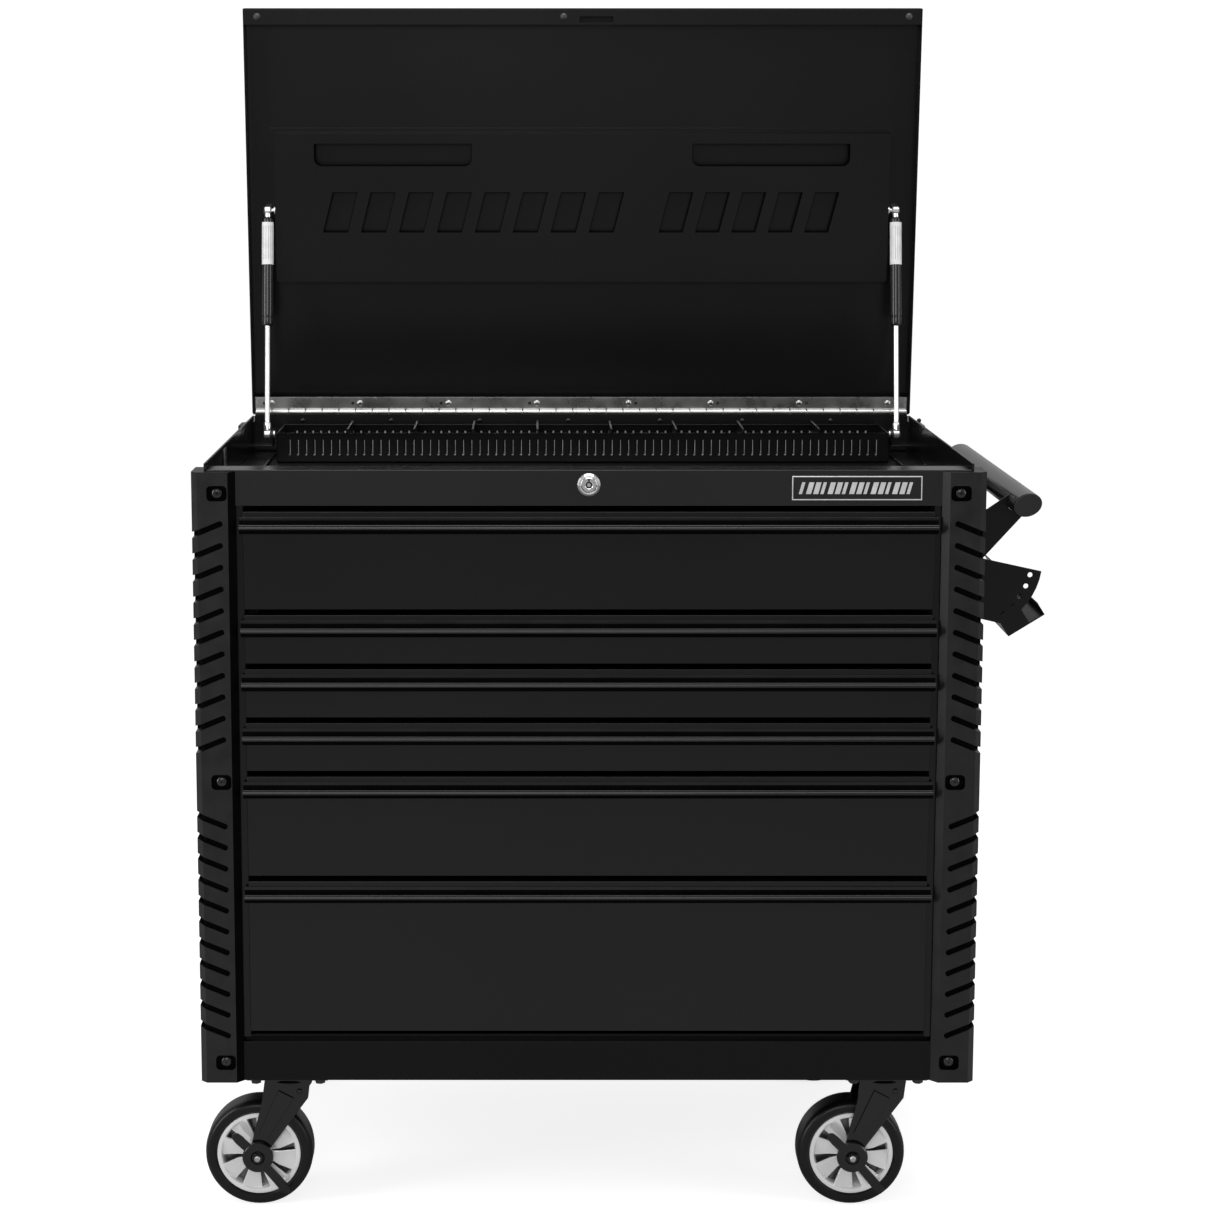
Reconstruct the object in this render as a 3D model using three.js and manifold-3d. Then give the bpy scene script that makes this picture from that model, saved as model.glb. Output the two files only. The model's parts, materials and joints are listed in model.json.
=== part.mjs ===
// Rolling tool chest: a steel case with six drawers, a lidded top compartment with a sliding divider
// tray, four corner bumpers, a push handle, an adjustable pry-bar rack and four swivel casters.
// Millimetres, +Z up. X runs to the right and Y from the front to the back; the chest is built with
// X = 0 on its centre line, Y = 0 on the bumper faces and Z = 0 on the floor.
import * as THREE from "three";
import { mergeVertices } from "three/addons/utils/BufferGeometryUtils.js";
import Module from "manifold-3d";

const wasm = await Module();
wasm.setup();

// ---------------------------------------------------------------- driving dimensions

const CLEARANCE = 0.3; // between pieces that touch
const SHEET = 1.5; // steel sheet
const CASE_WIDTH = 1041;
const CASE_DEPTH = 618; // front frame face to back panel
const TOP_RAIL_HEIGHT = 49;
const TOP_RAIL_FLANGE = 45;
const RAIL_LIP = 12; // turned-in lower edge of the top rail
const BOTTOM_RAIL_HEIGHT = 56;
const BOTTOM_RAIL_GAP = 16; // bottom rail to the lowest drawer
const STILE_WIDTH = 41.5; // front flange of each side panel
const STILE_RETURN = 20;
const RIM_HEIGHT = 9; // side and rear rims above the top rail
const RIM_THICKNESS = 3;
const BACK_FLANGE = 20;

const DRAWER_HEIGHTS = [142, 75, 75, 75, 148, 222]; // top to bottom
const DRAWER_GAP = 8;
const DRAWER_SIDE_GAP = 11; // drawer front to stile
const DRAWER_REAR_GAP = 34; // drawer tub to the back panel
const DRAWER_SHEET = 1.2;
const DRAWER_FRONT_PROUD = 2; // in front of the frame face
const DRAWER_FRONT_DEPTH = 16;
const TUB_INSET = 8.2; // tub side inside the drawer front's end
const DRAWER_BOX_DROP = 12; // tub rim below the drawer front's top
const DRAWER_BOX_RISE = 6; // tub bottom above the drawer front's bottom
const PULL_OVERHANG = 5; // pull past each end of the drawer front
const PULL_DROP = 7; // pull below the drawer front's top
const PULL_HEIGHT = 23;
const PULL_DEPTH = 11;
const SLIDE_WIDTH = 12.7; // ball-bearing slide, both members
const SLIDE_HEIGHT = 16;
const UPRIGHT = { front: 30, rear: 95, width: 35 }; // slide rack uprights from the frame face and back

const BUMPER_PROUD = 10; // in front of the frame face
const BUMPER_SIDE_PROUD = 17;
const BUMPER_LAP = 1; // past the stile's inner edge
const BUMPER_WING = 59.5; // round the side
const BUMPER_CHAMFER = 8.5;
const BUMPER_INNER_SLOPE = 9.4;
const BUMPER_TOP_DROP = 2; // below the top rail
const SLOT_COUNT = 11; // in each half of a bumper
const SLOT_PITCH = 29.8;
const SLOT_HEIGHT = 8;
const SLOT_DEPTH = 4.5;
const SLOT_ANGLE = 22.5; // degrees below the horizontal, towards the corner
const SLOT_INSET = 17; // slot end from the bumper's inner edge
const SLOT_WING = 30; // slot length round the corner
const UPPER_SLOT_DROP = 69; // first slot end below the bumper's top
const LOWER_SLOT_RISE = 66.5; // last slot end above the bumper's bottom
const POCKET = { width: 27.5, height: 21, depth: 6, inset: 10.5, margin: 29 };

const LID_SET_BACK = 1.7; // closed lid's front edge behind the bumper faces
const LID_DEPTH = 28;
const LID_RETURN = 24;
const LID_OPEN = 85; // degrees
const LID_PANEL = { inset: 42.5, setBack: 191, length: 230, face: 6 }; // from the side and front edges
const HAND_SLOT = { inset: 62, length: 245, setBack: 15, height: 35 }; // from the inner panel's edges
const LATCH_SLOT = { from: -5, to: 47, height: 9, inset: 11.5 }; // inset from the front edge
const HINGE_RADIUS = 5;
const HINGE_RISE = 5.5; // hinge axis above the rims
const HINGE_LEAF = 19;
const HINGE_END_GAP = 5;
const HINGE_KNUCKLES = 13;

const STRUT_INSET = 30.5; // strut axis from the case side
const STRUT_FOOT = { inset: 68, drop: 13 }; // lower pivot from the back panel and below the top rail
const STRUT_EAR = { half: 15, low: 18, high: 7, sheet: 2 }; // the foot's bracket round that pivot
const STRUT_HEAD = { inset: 119, rise: 12 }; // upper pivot from the inner panel's front edge, off the lid
const STRUT_CYLINDER = { radius: 9, share: 0.4865, cap: 11, bore: 12 }; // share of the strut's length
const STRUT_ROD_RADIUS = 4;
const STRUT_EYE = { radius: 6.5, width: 11 };
const STRUT_STUD_RADIUS = 3;

const COMPARTMENT_DEPTH = 47; // floor below the top rail
const TRAY = { inset: 53.5, depth: 129, rearGap: 26, height: 45, wall: 1.5 };
const DIVIDERS = [-0.769, -0.552, -0.36, -0.148, 0.094, 0.306, 0.525, 0.773]; // of the tray's half width
const DIVIDER = { thickness: 1.5, rise: 6 };

const LOCK = { drop: 20, bezel: 15.5, cylinder: 10.2, proud: 5, length: 26, cam: [14, 23], camSheet: 2.5 };
const BADGE = { inset: 28.5, drop: 24.5, width: 176, height: 33, thickness: 2 };

const HANDLE = { reach: 76, drop: 50, from: 21, rear: 14, major: 40, minor: 31, wall: 1.8, tilt: 20 };
const HANDLE_PLATE = { front: 75, rear: 68, thickness: 3, low: 159, high: 83, foot: 24 };
const RACK = { out: 14.5, drop: 139, front: 100, rear: 93, thickness: 3, foot: 23 };
const FAN = { radius: 98.5, margin: 5, wallRise: 10, wallDrop: 75 };
const FAN_HOLES = { radius: 3.75, circle: 84, first: 13.5, step: 11.4, count: 5 };
const CHANNEL = { offset: 120, toward: 58, inner: 11, outer: 48, wallIn: 31, wallOut: 21, sheet: 2 };

const WHEEL_DIAMETER = 152.4;
const WHEEL_WIDTH = 50;
const TYRE_THICKNESS = 16.7;
const AXLE_RADIUS = 6;
const CASTER_ROOM = 46.6; // wheel top to the case bottom
const CASTER_TRAIL = 44.5;
const CASTER_PLATE = { length: 114, width: 102, thickness: 5 };
const CASTER_SIDE_INSET = 101; // swivel axis from the case side
const CASTER_END_INSET = 64; // swivel axis from the frame face and from the back panel
const RACEWAY = { radius: 36, height: 6 };
const FORK = { sheet: 4, sideGap: 3, crownHalf: 30, axleEnd: 18 };
const BRAKE = { radius: 22, thickness: 5, up: 48, down: 67, armWidth: 14 };

// ---------------------------------------------------------------- sizes that follow from them

const halfWidth = CASE_WIDTH / 2;
const wallInner = halfWidth - SHEET;
const stileInner = halfWidth - STILE_WIDTH;
const frontY = BUMPER_PROUD;
const backY = frontY + CASE_DEPTH;
const totalDepth = backY + BUMPER_PROUD;
const caseBottom = WHEEL_DIAMETER + CASTER_ROOM;
const drawersBottom = caseBottom + BOTTOM_RAIL_HEIGHT + BOTTOM_RAIL_GAP;
const drawersTop = drawersBottom + DRAWER_HEIGHTS.reduce((sum, height) => sum + height, 0);
const caseTop = drawersTop + TOP_RAIL_HEIGHT;
const rimTop = caseTop + RIM_HEIGHT;
const floorTop = caseTop - COMPARTMENT_DEPTH;
const frontHalf = stileInner - DRAWER_SIDE_GAP;
const boxHalf = frontHalf - TUB_INSET;
const rackFace = boxHalf + SLIDE_WIDTH;
const bumperOuter = halfWidth + BUMPER_SIDE_PROUD;
const bumperInner = stileInner - BUMPER_LAP;
const bumperTop = caseTop - BUMPER_TOP_DROP;
const hingeY = backY - SHEET - CLEARANCE - SHEET + HINGE_RADIUS;
const hingeZ = rimTop + HINGE_RISE;
const wheelRadius = WHEEL_DIAMETER / 2;
const hubRadius = wheelRadius - TYRE_THICKNESS;
const strutX = halfWidth - STRUT_INSET;
const footY = backY - STRUT_FOOT.inset;
const footZ = caseTop - STRUT_FOOT.drop;
const eyeInner = strutX - STRUT_EYE.width / 2;
const lidLength = hingeY - LID_SET_BACK;
const panelHalf = halfWidth - LID_PANEL.inset;
const panelTo = lidLength - LID_PANEL.setBack;
const panelFrom = panelTo - LID_PANEL.length;
const lockZ = caseTop - LOCK.drop;
const rimInner = halfWidth - RIM_THICKNESS - CLEARANCE;

// ---------------------------------------------------------------- materials

const finish = (color, roughness, metalness) =>
  new THREE.MeshStandardMaterial({ color, roughness, metalness });
const blackPaint = finish(0x141414, 0.35, 0.1);
const blackPlastic = finish(0x1b1b1b, 0.6, 0);
const blackTrim = finish(0x0c0c0c, 0.25, 0.2);
const chrome = finish(0xd8d8da, 0.12, 1);
const zinc = finish(0xb4b4b2, 0.35, 1);
const tyreRubber = finish(0x171717, 0.75, 0);

// ---------------------------------------------------------------- shape tools

// A closed three.js geometry as a solid that can be joined and cut.
function solid(geometry) {
  const bare = geometry.clone();
  bare.deleteAttribute("normal");
  bare.deleteAttribute("uv");
  const merged = mergeVertices(bare, 1e-4);
  return new wasm.Manifold(
    new wasm.Mesh({
      numProp: 3,
      vertProperties: new Float32Array(merged.attributes.position.array),
      triVerts: new Uint32Array(merged.index.array),
    }),
  );
}

function geometryOf(body) {
  const mesh = body.getMesh();
  const geometry = new THREE.BufferGeometry();
  geometry.setAttribute("position", new THREE.BufferAttribute(mesh.vertProperties, 3));
  geometry.setIndex(new THREE.BufferAttribute(mesh.triVerts, 1));
  return geometry;
}

const join = (...bodies) => bodies.reduce((whole, body) => whole.add(body));
const cut = (body, ...tools) => tools.reduce((left, tool) => left.subtract(tool), body);

// A box between two values on each axis, given in either order.
function block([x0, x1], [y0, y1], [z0, z1]) {
  const box = new THREE.BoxGeometry(Math.abs(x1 - x0), Math.abs(y1 - y0), Math.abs(z1 - z0));
  return solid(box.translate((x0 + x1) / 2, (y0 + y1) / 2, (z0 + z1) / 2));
}

function shapeOf(points) {
  return new THREE.Shape(points.map(([a, b]) => new THREE.Vector2(a, b)));
}

const BASES = {
  x: [new THREE.Vector3(0, 1, 0), new THREE.Vector3(0, 0, 1), new THREE.Vector3(1, 0, 0)],
  y: [new THREE.Vector3(0, 0, 1), new THREE.Vector3(1, 0, 0), new THREE.Vector3(0, 1, 0)],
  z: [new THREE.Vector3(1, 0, 0), new THREE.Vector3(0, 1, 0), new THREE.Vector3(0, 0, 1)],
};

// An outline pushed along one axis. Its points are [y, z] along x, [z, x] along y and [x, y] along z.
function prism(axis, outline, from, to) {
  const shape = Array.isArray(outline) ? shapeOf(outline) : outline;
  const geometry = new THREE.ExtrudeGeometry(shape, {
    depth: to - from,
    bevelEnabled: false,
    curveSegments: 10,
  });
  geometry.translate(0, 0, from);
  geometry.applyMatrix4(new THREE.Matrix4().makeBasis(...BASES[axis]));
  return solid(geometry);
}

// A round bar along one axis, from one value to the other.
function bar(axis, radius, [a, b], from, to, sides = 12) {
  const circle = Array.from({ length: sides }, (_, i) => {
    const turn = ((i + 0.5) / sides) * 2 * Math.PI;
    return [a + radius * Math.cos(turn), b + radius * Math.sin(turn)];
  });
  return prism(axis, circle, from, to);
}

function moved(body, x, y, z) {
  return body.translate([x, y, z]);
}

// Points of an arc, in degrees.
function arc([a, b], radius, from, to, steps) {
  return Array.from({ length: steps + 1 }, (_, i) => {
    const turn = THREE.MathUtils.degToRad(from + ((to - from) * i) / steps);
    return [a + radius * Math.cos(turn), b + radius * Math.sin(turn)];
  });
}

const mirrored = (side, outline) => outline.map(([x, y]) => [side * x, y]);

const chest = new THREE.Group();

function place(name, body, material, parent = chest) {
  const mesh = new THREE.Mesh(geometryOf(body), material);
  mesh.name = name;
  parent.add(mesh);
  return mesh;
}

const SIDES = { left: -1, right: 1 };

// ---------------------------------------------------------------- case

// Side panel: an outer wall, a front stile with a return, a thick top rim and the bracket that
// carries the stud of the gas strut's foot.
for (const [name, side] of Object.entries(SIDES)) {
  const earX = eyeInner - CLEARANCE - 2 * STRUT_EAR.sheet;
  const stileTop = caseTop - SHEET - CLEARANCE;
  const across = (from, to) => [side * from, side * to];
  const wall = block(across(wallInner, halfWidth), [frontY, backY], [caseBottom, rimTop]);
  const stile = prism(
    "z",
    mirrored(side, [
      [halfWidth - 0.5, frontY],
      [halfWidth - 0.5, frontY + SHEET],
      [stileInner + SHEET, frontY + SHEET],
      [stileInner + SHEET, frontY + STILE_RETURN],
      [stileInner, frontY + STILE_RETURN],
      [stileInner, frontY],
    ]),
    caseBottom,
    stileTop,
  );
  const rim = block(
    across(halfWidth - RIM_THICKNESS, halfWidth - 0.5),
    [frontY, backY],
    [rimTop - RIM_HEIGHT + CLEARANCE, rimTop],
  );
  const { half, low, high, sheet } = STRUT_EAR;
  const earY = [footY - half, footY + half];
  const shelf = block(across(earX, wallInner + 0.5), earY, [footZ - low, footZ - low + sheet]);
  const ear = block(across(earX, earX + sheet), earY, [footZ - low, footZ + high]);
  const studFrom = side * earX;
  const studTo = side * (eyeInner - CLEARANCE);
  const stud = bar(
    "x",
    STRUT_STUD_RADIUS,
    [footY, footZ],
    Math.min(studFrom, studTo),
    Math.max(studFrom, studTo),
    8,
  );
  place(`${name}_side_panel`, join(wall, stile, rim, shelf, ear, stud), blackPaint);
}

// Back panel, with flanges that lie inside the side panels.
const backHalf = wallInner - CLEARANCE;
place(
  "back_panel",
  prism(
    "z",
    [
      [-backHalf, backY],
      [-backHalf, backY - BACK_FLANGE],
      [-backHalf + SHEET, backY - BACK_FLANGE],
      [-backHalf + SHEET, backY - SHEET],
      [backHalf - SHEET, backY - SHEET],
      [backHalf - SHEET, backY - BACK_FLANGE],
      [backHalf, backY - BACK_FLANGE],
      [backHalf, backY],
    ],
    caseBottom,
    rimTop - RIM_HEIGHT,
  ).add(block([-rimInner, rimInner], [backY - SHEET, backY], [caseTop - 1, rimTop])),
  blackPaint,
);

// Top rail between the stiles; its flange runs on over them to the side panels.
const railHalf = stileInner - CLEARANCE;
const railFace = prism(
  "x",
  [
    [frontY, drawersTop],
    [frontY + RAIL_LIP, drawersTop],
    [frontY + RAIL_LIP, drawersTop + SHEET],
    [frontY + SHEET, drawersTop + SHEET],
    [frontY + SHEET, caseTop - 1],
    [frontY, caseTop - 1],
  ],
  -railHalf,
  railHalf,
);
const railFlange = prism(
  "x",
  [
    [frontY, caseTop - SHEET],
    [frontY + TOP_RAIL_FLANGE - SHEET, caseTop - SHEET],
    [frontY + TOP_RAIL_FLANGE - SHEET, caseTop - 12],
    [frontY + TOP_RAIL_FLANGE, caseTop - 12],
    [frontY + TOP_RAIL_FLANGE, caseTop],
    [frontY, caseTop],
  ],
  -rimInner,
  rimInner,
);
const lockHole = bar("y", LOCK.cylinder + CLEARANCE, [lockZ, 0], frontY - 1, frontY + 3, 16);
place("top_rail", cut(join(railFace, railFlange), lockHole), blackPaint);

// Base pan: the floor of the case and, at the front, the bottom rail with its set-back lip.
const panHalf = wallInner - CLEARANCE;
const railTop = caseBottom + BOTTOM_RAIL_HEIGHT;
const panFront = frontY + STILE_RETURN + CLEARANCE;
const panFloor = block(
  [-panHalf, panHalf],
  [panFront, backY - SHEET - CLEARANCE],
  [caseBottom, caseBottom + SHEET],
);
const bottomRail = prism(
  "x",
  [
    [frontY, caseBottom],
    [panFront + 5, caseBottom],
    [panFront + 5, caseBottom + SHEET],
    [frontY + SHEET, caseBottom + SHEET],
    [frontY + SHEET, railTop - SHEET],
    [frontY + 14, railTop - SHEET],
    [frontY + 14, railTop + 7],
    [frontY + 14 - SHEET, railTop + 7],
    [frontY + 14 - SHEET, railTop],
    [frontY, railTop],
  ],
  -railHalf,
  railHalf,
);
const backFlangeRoom = Object.values(SIDES).map((side) =>
  block(
    [side * (backHalf - SHEET - CLEARANCE), side * (panHalf + 1)],
    [backY - BACK_FLANGE - CLEARANCE, backY],
    [caseBottom - 1, caseBottom + SHEET + 1],
  ),
);
place("base_pan", cut(join(panFloor, bottomRail), ...backFlangeRoom), blackPaint);

// Floor of the top compartment, with turned-up edges inside the strut brackets.
const edgeLineX = stileInner - 2;
const floorPlate = block(
  [-panHalf, panHalf],
  [frontY + RAIL_LIP + CLEARANCE, backY - BACK_FLANGE - CLEARANCE],
  [floorTop - SHEET, floorTop],
);
const stileRoom = Object.values(SIDES).map((side) =>
  block(
    [side * (stileInner - CLEARANCE), side * (panHalf + 1)],
    [frontY, frontY + STILE_RETURN + CLEARANCE],
    [floorTop - SHEET - 1, floorTop + 1],
  ),
);
const floorEdges = Object.values(SIDES).map((side) =>
  block(
    [side * edgeLineX, side * (edgeLineX + SHEET)],
    [frontY + TOP_RAIL_FLANGE, backY - BACK_FLANGE - CLEARANCE],
    [floorTop - 0.5, floorTop + 4],
  ),
);
place("compartment_floor", join(cut(floorPlate, ...stileRoom), ...floorEdges), blackPaint);

// Slide racks: two upright channels on each side, with one slide rail for each drawer.
const drawers = [];
DRAWER_HEIGHTS.reduce((top, height, index) => {
  const bottom = top - height;
  const tubLow = bottom + DRAWER_BOX_RISE;
  const tubHigh = top - DRAWER_GAP - DRAWER_BOX_DROP;
  drawers.push({ number: index + 1, bottom, top, tubLow, tubHigh, slideZ: (tubLow + tubHigh) / 2 });
  return bottom;
}, drawersTop);
const tubFront = frontY - DRAWER_FRONT_PROUD + DRAWER_FRONT_DEPTH;
const tubBack = backY - DRAWER_REAR_GAP;
for (const [name, side] of Object.entries(SIDES)) {
  const outer = wallInner - CLEARANCE;
  const uprights = [frontY + UPRIGHT.front, backY - UPRIGHT.rear].map((y) =>
    prism(
      "z",
      mirrored(side, [
        [rackFace, y],
        [outer, y],
        [outer, y + SHEET],
        [rackFace + SHEET, y + SHEET],
        [rackFace + SHEET, y + UPRIGHT.width - SHEET],
        [outer, y + UPRIGHT.width - SHEET],
        [outer, y + UPRIGHT.width],
        [rackFace, y + UPRIGHT.width],
      ]),
      caseBottom + SHEET + CLEARANCE,
      floorTop - SHEET - CLEARANCE,
    ),
  );
  const rails = drawers.map(({ slideZ }) =>
    block(
      [side * (rackFace - SLIDE_WIDTH / 2 + CLEARANCE), side * (rackFace + 1)],
      [frontY + STILE_RETURN, backY - BACK_FLANGE - CLEARANCE],
      [slideZ - SLIDE_HEIGHT / 2, slideZ + SLIDE_HEIGHT / 2],
    ),
  );
  place(`${name}_slide_rack`, join(...uprights, ...rails), zinc);
}

// ---------------------------------------------------------------- corner bumpers

// One L-shaped moulding with a chamfered corner, two runs of slanting slots that turn round the
// corner, and three screw pockets. `side` and `end` are -1 or 1: left or right, front or rear.
function bumper(side, end) {
  const y = (depth) => (end < 0 ? depth : totalDepth - depth);
  const plan = (points) => points.map(([x, depth]) => [side * x, y(depth)]);
  const back = BUMPER_PROUD - CLEARANCE;
  const wall = halfWidth + CLEARANCE;
  const outline = plan([
    [bumperInner, back],
    [bumperInner + BUMPER_INNER_SLOPE, 0],
    [bumperOuter - BUMPER_CHAMFER, 0],
    [bumperOuter, BUMPER_CHAMFER],
    [bumperOuter, BUMPER_WING],
    [wall, BUMPER_WING],
    [wall, back],
  ]);
  const moulding = prism("z", outline, caseBottom, bumperTop);

  const inner = bumperInner + SLOT_INSET;
  const slotPlan = plan([
    [inner, -1],
    [bumperOuter + 6, -1],
    [bumperOuter + 6, SLOT_WING],
    [bumperOuter - SLOT_DEPTH, SLOT_WING],
    [bumperOuter - SLOT_DEPTH, BUMPER_CHAMFER + 1],
    [bumperOuter - BUMPER_CHAMFER - 1, SLOT_DEPTH],
    [inner, SLOT_DEPTH],
  ]);
  const slot = moved(prism("z", slotPlan, -SLOT_HEIGHT / 2, SLOT_HEIGHT / 2), -side * inner, 0, 0);
  const slots = [];
  for (let i = 0; i < SLOT_COUNT; i++) {
    const upper = bumperTop - UPPER_SLOT_DROP - i * SLOT_PITCH;
    const lower = caseBottom + LOWER_SLOT_RISE + i * SLOT_PITCH;
    slots.push(moved(slot.rotate([0, side * SLOT_ANGLE, 0]), side * inner, 0, upper));
    slots.push(moved(slot.rotate([0, -side * SLOT_ANGLE, 0]), side * inner, 0, lower));
  }

  const pocketX = [
    side * (bumperInner + POCKET.inset),
    side * (bumperInner + POCKET.inset + POCKET.width),
  ];
  const pocketZ = [caseBottom + POCKET.margin, (caseBottom + bumperTop) / 2, bumperTop - POCKET.margin];
  const pockets = pocketZ.map((z) =>
    block(pocketX, [y(-1), y(POCKET.depth)], [z - POCKET.height / 2, z + POCKET.height / 2]),
  );
  return cut(moulding, ...slots, ...pockets);
}

for (const [name, side] of Object.entries(SIDES)) {
  place(`front_${name}_bumper`, bumper(side, -1), blackPlastic);
  place(`rear_${name}_bumper`, bumper(side, 1), blackPlastic);
}

// ---------------------------------------------------------------- drawers

// Pull: an extrusion with a finger channel on top and a rounded lip. Points are [z, depth], from
// the pull's top and from the drawer front.
const PULL_OUTLINE = [
  [0, 0],
  [0, 1.6],
  [-13, 2.2],
  [-11, PULL_DEPTH - 4.5],
  [-7, PULL_DEPTH - 2],
  [-7, PULL_DEPTH - 0.6],
  [-9, PULL_DEPTH],
  [-13, PULL_DEPTH],
  [-18, PULL_DEPTH - 3],
  [-PULL_HEIGHT + 1, 3],
  [-PULL_HEIGHT, 0],
];
const faceY = frontY - DRAWER_FRONT_PROUD;

for (const { number, bottom, top, tubLow, tubHigh, slideZ } of drawers) {
  const frontTop = top - DRAWER_GAP;
  const front = prism(
    "x",
    [
      [faceY, bottom],
      [tubFront + 0.5, bottom],
      [tubFront + 0.5, bottom + DRAWER_SHEET],
      [faceY + DRAWER_SHEET, bottom + DRAWER_SHEET],
      [faceY + DRAWER_SHEET, frontTop - DRAWER_SHEET],
      [tubFront - DRAWER_SHEET, frontTop - DRAWER_SHEET],
      [tubFront - DRAWER_SHEET, tubLow],
      [tubFront + 0.5, tubLow],
      [tubFront + 0.5, frontTop],
      [faceY, frontTop],
    ],
    -frontHalf,
    frontHalf,
  );
  const tub = cut(
    block([-boxHalf, boxHalf], [tubFront, tubBack], [tubLow, tubHigh]),
    block(
      [-boxHalf + DRAWER_SHEET, boxHalf - DRAWER_SHEET],
      [tubFront + DRAWER_SHEET, tubBack - DRAWER_SHEET],
      [tubLow + DRAWER_SHEET, tubHigh + 1],
    ),
  );
  const runners = Object.values(SIDES).map((side) =>
    block(
      [side * (boxHalf - 1), side * (rackFace - SLIDE_WIDTH / 2)],
      [frontY + STILE_RETURN + 4, tubBack],
      [slideZ - SLIDE_HEIGHT / 2, slideZ + SLIDE_HEIGHT / 2],
    ),
  );
  const inside = block(
    [-boxHalf + DRAWER_SHEET, boxHalf - DRAWER_SHEET],
    [tubFront + DRAWER_SHEET, tubBack - DRAWER_SHEET],
    [tubLow + DRAWER_SHEET, tubHigh + 1],
  );
  place(`drawer_${number}_box`, join(front, tub, cut(join(...runners), inside)), blackPaint);

  const pullTop = frontTop - PULL_DROP;
  const outline = PULL_OUTLINE.map(([z, depth]) => [faceY - CLEARANCE - depth, pullTop + z]);
  const pullHalf = frontHalf + PULL_OVERHANG;
  place(`drawer_${number}_pull`, prism("x", outline, -pullHalf, pullHalf), blackTrim);
}

// ---------------------------------------------------------------- lid

// The lid group stands at the hinge axis. Inside it the lid is closed: it runs towards -Y and the
// skin is uppermost.
const lid = new THREE.Group();
lid.position.set(0, hingeY, hingeZ);
lid.rotation.x = -THREE.MathUtils.degToRad(LID_OPEN);
chest.add(lid);

const flangeLow = HINGE_RADIUS + CLEARANCE;
const lidRear = 5;
const lidSection = prism(
  "x",
  [
    [-lidLength, 0],
    [-lidLength + LID_RETURN, 0],
    [-lidLength + LID_RETURN, SHEET],
    [-lidLength + SHEET, SHEET],
    [-lidLength + SHEET, LID_DEPTH - SHEET],
    [lidRear - SHEET, LID_DEPTH - SHEET],
    [lidRear - SHEET, flangeLow + SHEET],
    [-HINGE_LEAF - 4, flangeLow + SHEET],
    [-HINGE_LEAF - 4, flangeLow],
    [lidRear, flangeLow],
    [lidRear, LID_DEPTH],
    [-lidLength, LID_DEPTH],
  ],
  -halfWidth + 0.5,
  halfWidth - 0.5,
);
const lidSides = Object.values(SIDES).map((side) =>
  block([side * wallInner, side * halfWidth], [-lidLength, lidRear - 3], [0, LID_DEPTH]),
);
const latchY = -lidLength + LATCH_SLOT.inset;
const latchSlot = block(
  [LATCH_SLOT.from, LATCH_SLOT.to],
  [latchY, latchY + LATCH_SLOT.height],
  [-1, SHEET + 1],
);
place("lid_shell", cut(join(lidSection, ...lidSides), latchSlot), blackPaint, lid);

// Inner panel: a pan with its face off the skin and two hand slots near the front.
const panBack = LID_DEPTH - SHEET - CLEARANCE;
const panOuter = block(
  [-panelHalf, panelHalf],
  [-panelTo, -panelFrom],
  [LID_PANEL.face, panBack],
);
const panHollow = block(
  [-panelHalf + SHEET, panelHalf - SHEET],
  [-panelTo + SHEET, -panelFrom - SHEET],
  [LID_PANEL.face + SHEET, panBack + 1],
);
const slotOuter = panelHalf - HAND_SLOT.inset;
const slotFront = -panelTo + HAND_SLOT.setBack;
const handSlots = Object.values(SIDES).map((side) =>
  block(
    [side * (slotOuter - HAND_SLOT.length), side * slotOuter],
    [slotFront, slotFront + HAND_SLOT.height],
    [LID_PANEL.face - 1, LID_PANEL.face + SHEET + 1],
  ),
);
const headAlong = panelTo - STRUT_HEAD.inset;
const headStuds = Object.values(SIDES).map((side) => {
  const reach = [side * (panelHalf - 1), side * (eyeInner - CLEARANCE)];
  const centre = [-headAlong, STRUT_HEAD.rise];
  return bar("x", STRUT_STUD_RADIUS, centre, Math.min(...reach), Math.max(...reach), 8);
});
place("lid_inner_panel", join(cut(panOuter, panHollow, ...handSlots), ...headStuds), blackPaint, lid);

// Continuous hinge: alternate knuckles belong to the case leaf and to the lid leaf.
const hingeHalf = halfWidth - HINGE_END_GAP;
const knuckleLength = (2 * hingeHalf) / HINGE_KNUCKLES;
function knuckles(first) {
  const found = [];
  for (let i = first; i < HINGE_KNUCKLES; i += 2) {
    const from = -hingeHalf + i * knuckleLength + CLEARANCE / 2;
    found.push(bar("x", HINGE_RADIUS, [0, 0], from, from + knuckleLength - CLEARANCE, 8));
  }
  return found;
}
const rollCut = (first) =>
  Array.from({ length: HINGE_KNUCKLES }, (_, i) => i)
    .filter((i) => i % 2 !== first)
    .map((i) => {
      const from = -hingeHalf + i * knuckleLength - CLEARANCE / 2;
      const reach = HINGE_RADIUS + 1;
      return block([from, from + knuckleLength + CLEARANCE], [-reach, reach], [-reach, reach]);
    });
const lidLeaf = block(
  [-hingeHalf, hingeHalf],
  [-HINGE_LEAF, 0],
  [HINGE_RADIUS - SHEET, HINGE_RADIUS],
);
place("hinge_lid_leaf", join(cut(lidLeaf, ...rollCut(1)), ...knuckles(1)), zinc, lid);

const caseLeaf = block(
  [-hingeHalf, hingeHalf],
  [-HINGE_RADIUS, -HINGE_RADIUS + SHEET],
  [-HINGE_LEAF, 0],
);
const caseHinge = join(cut(caseLeaf, ...rollCut(0)), ...knuckles(0));
place("hinge_case_leaf", moved(caseHinge, 0, hingeY, hingeZ), zinc);

// ---------------------------------------------------------------- gas struts

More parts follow.
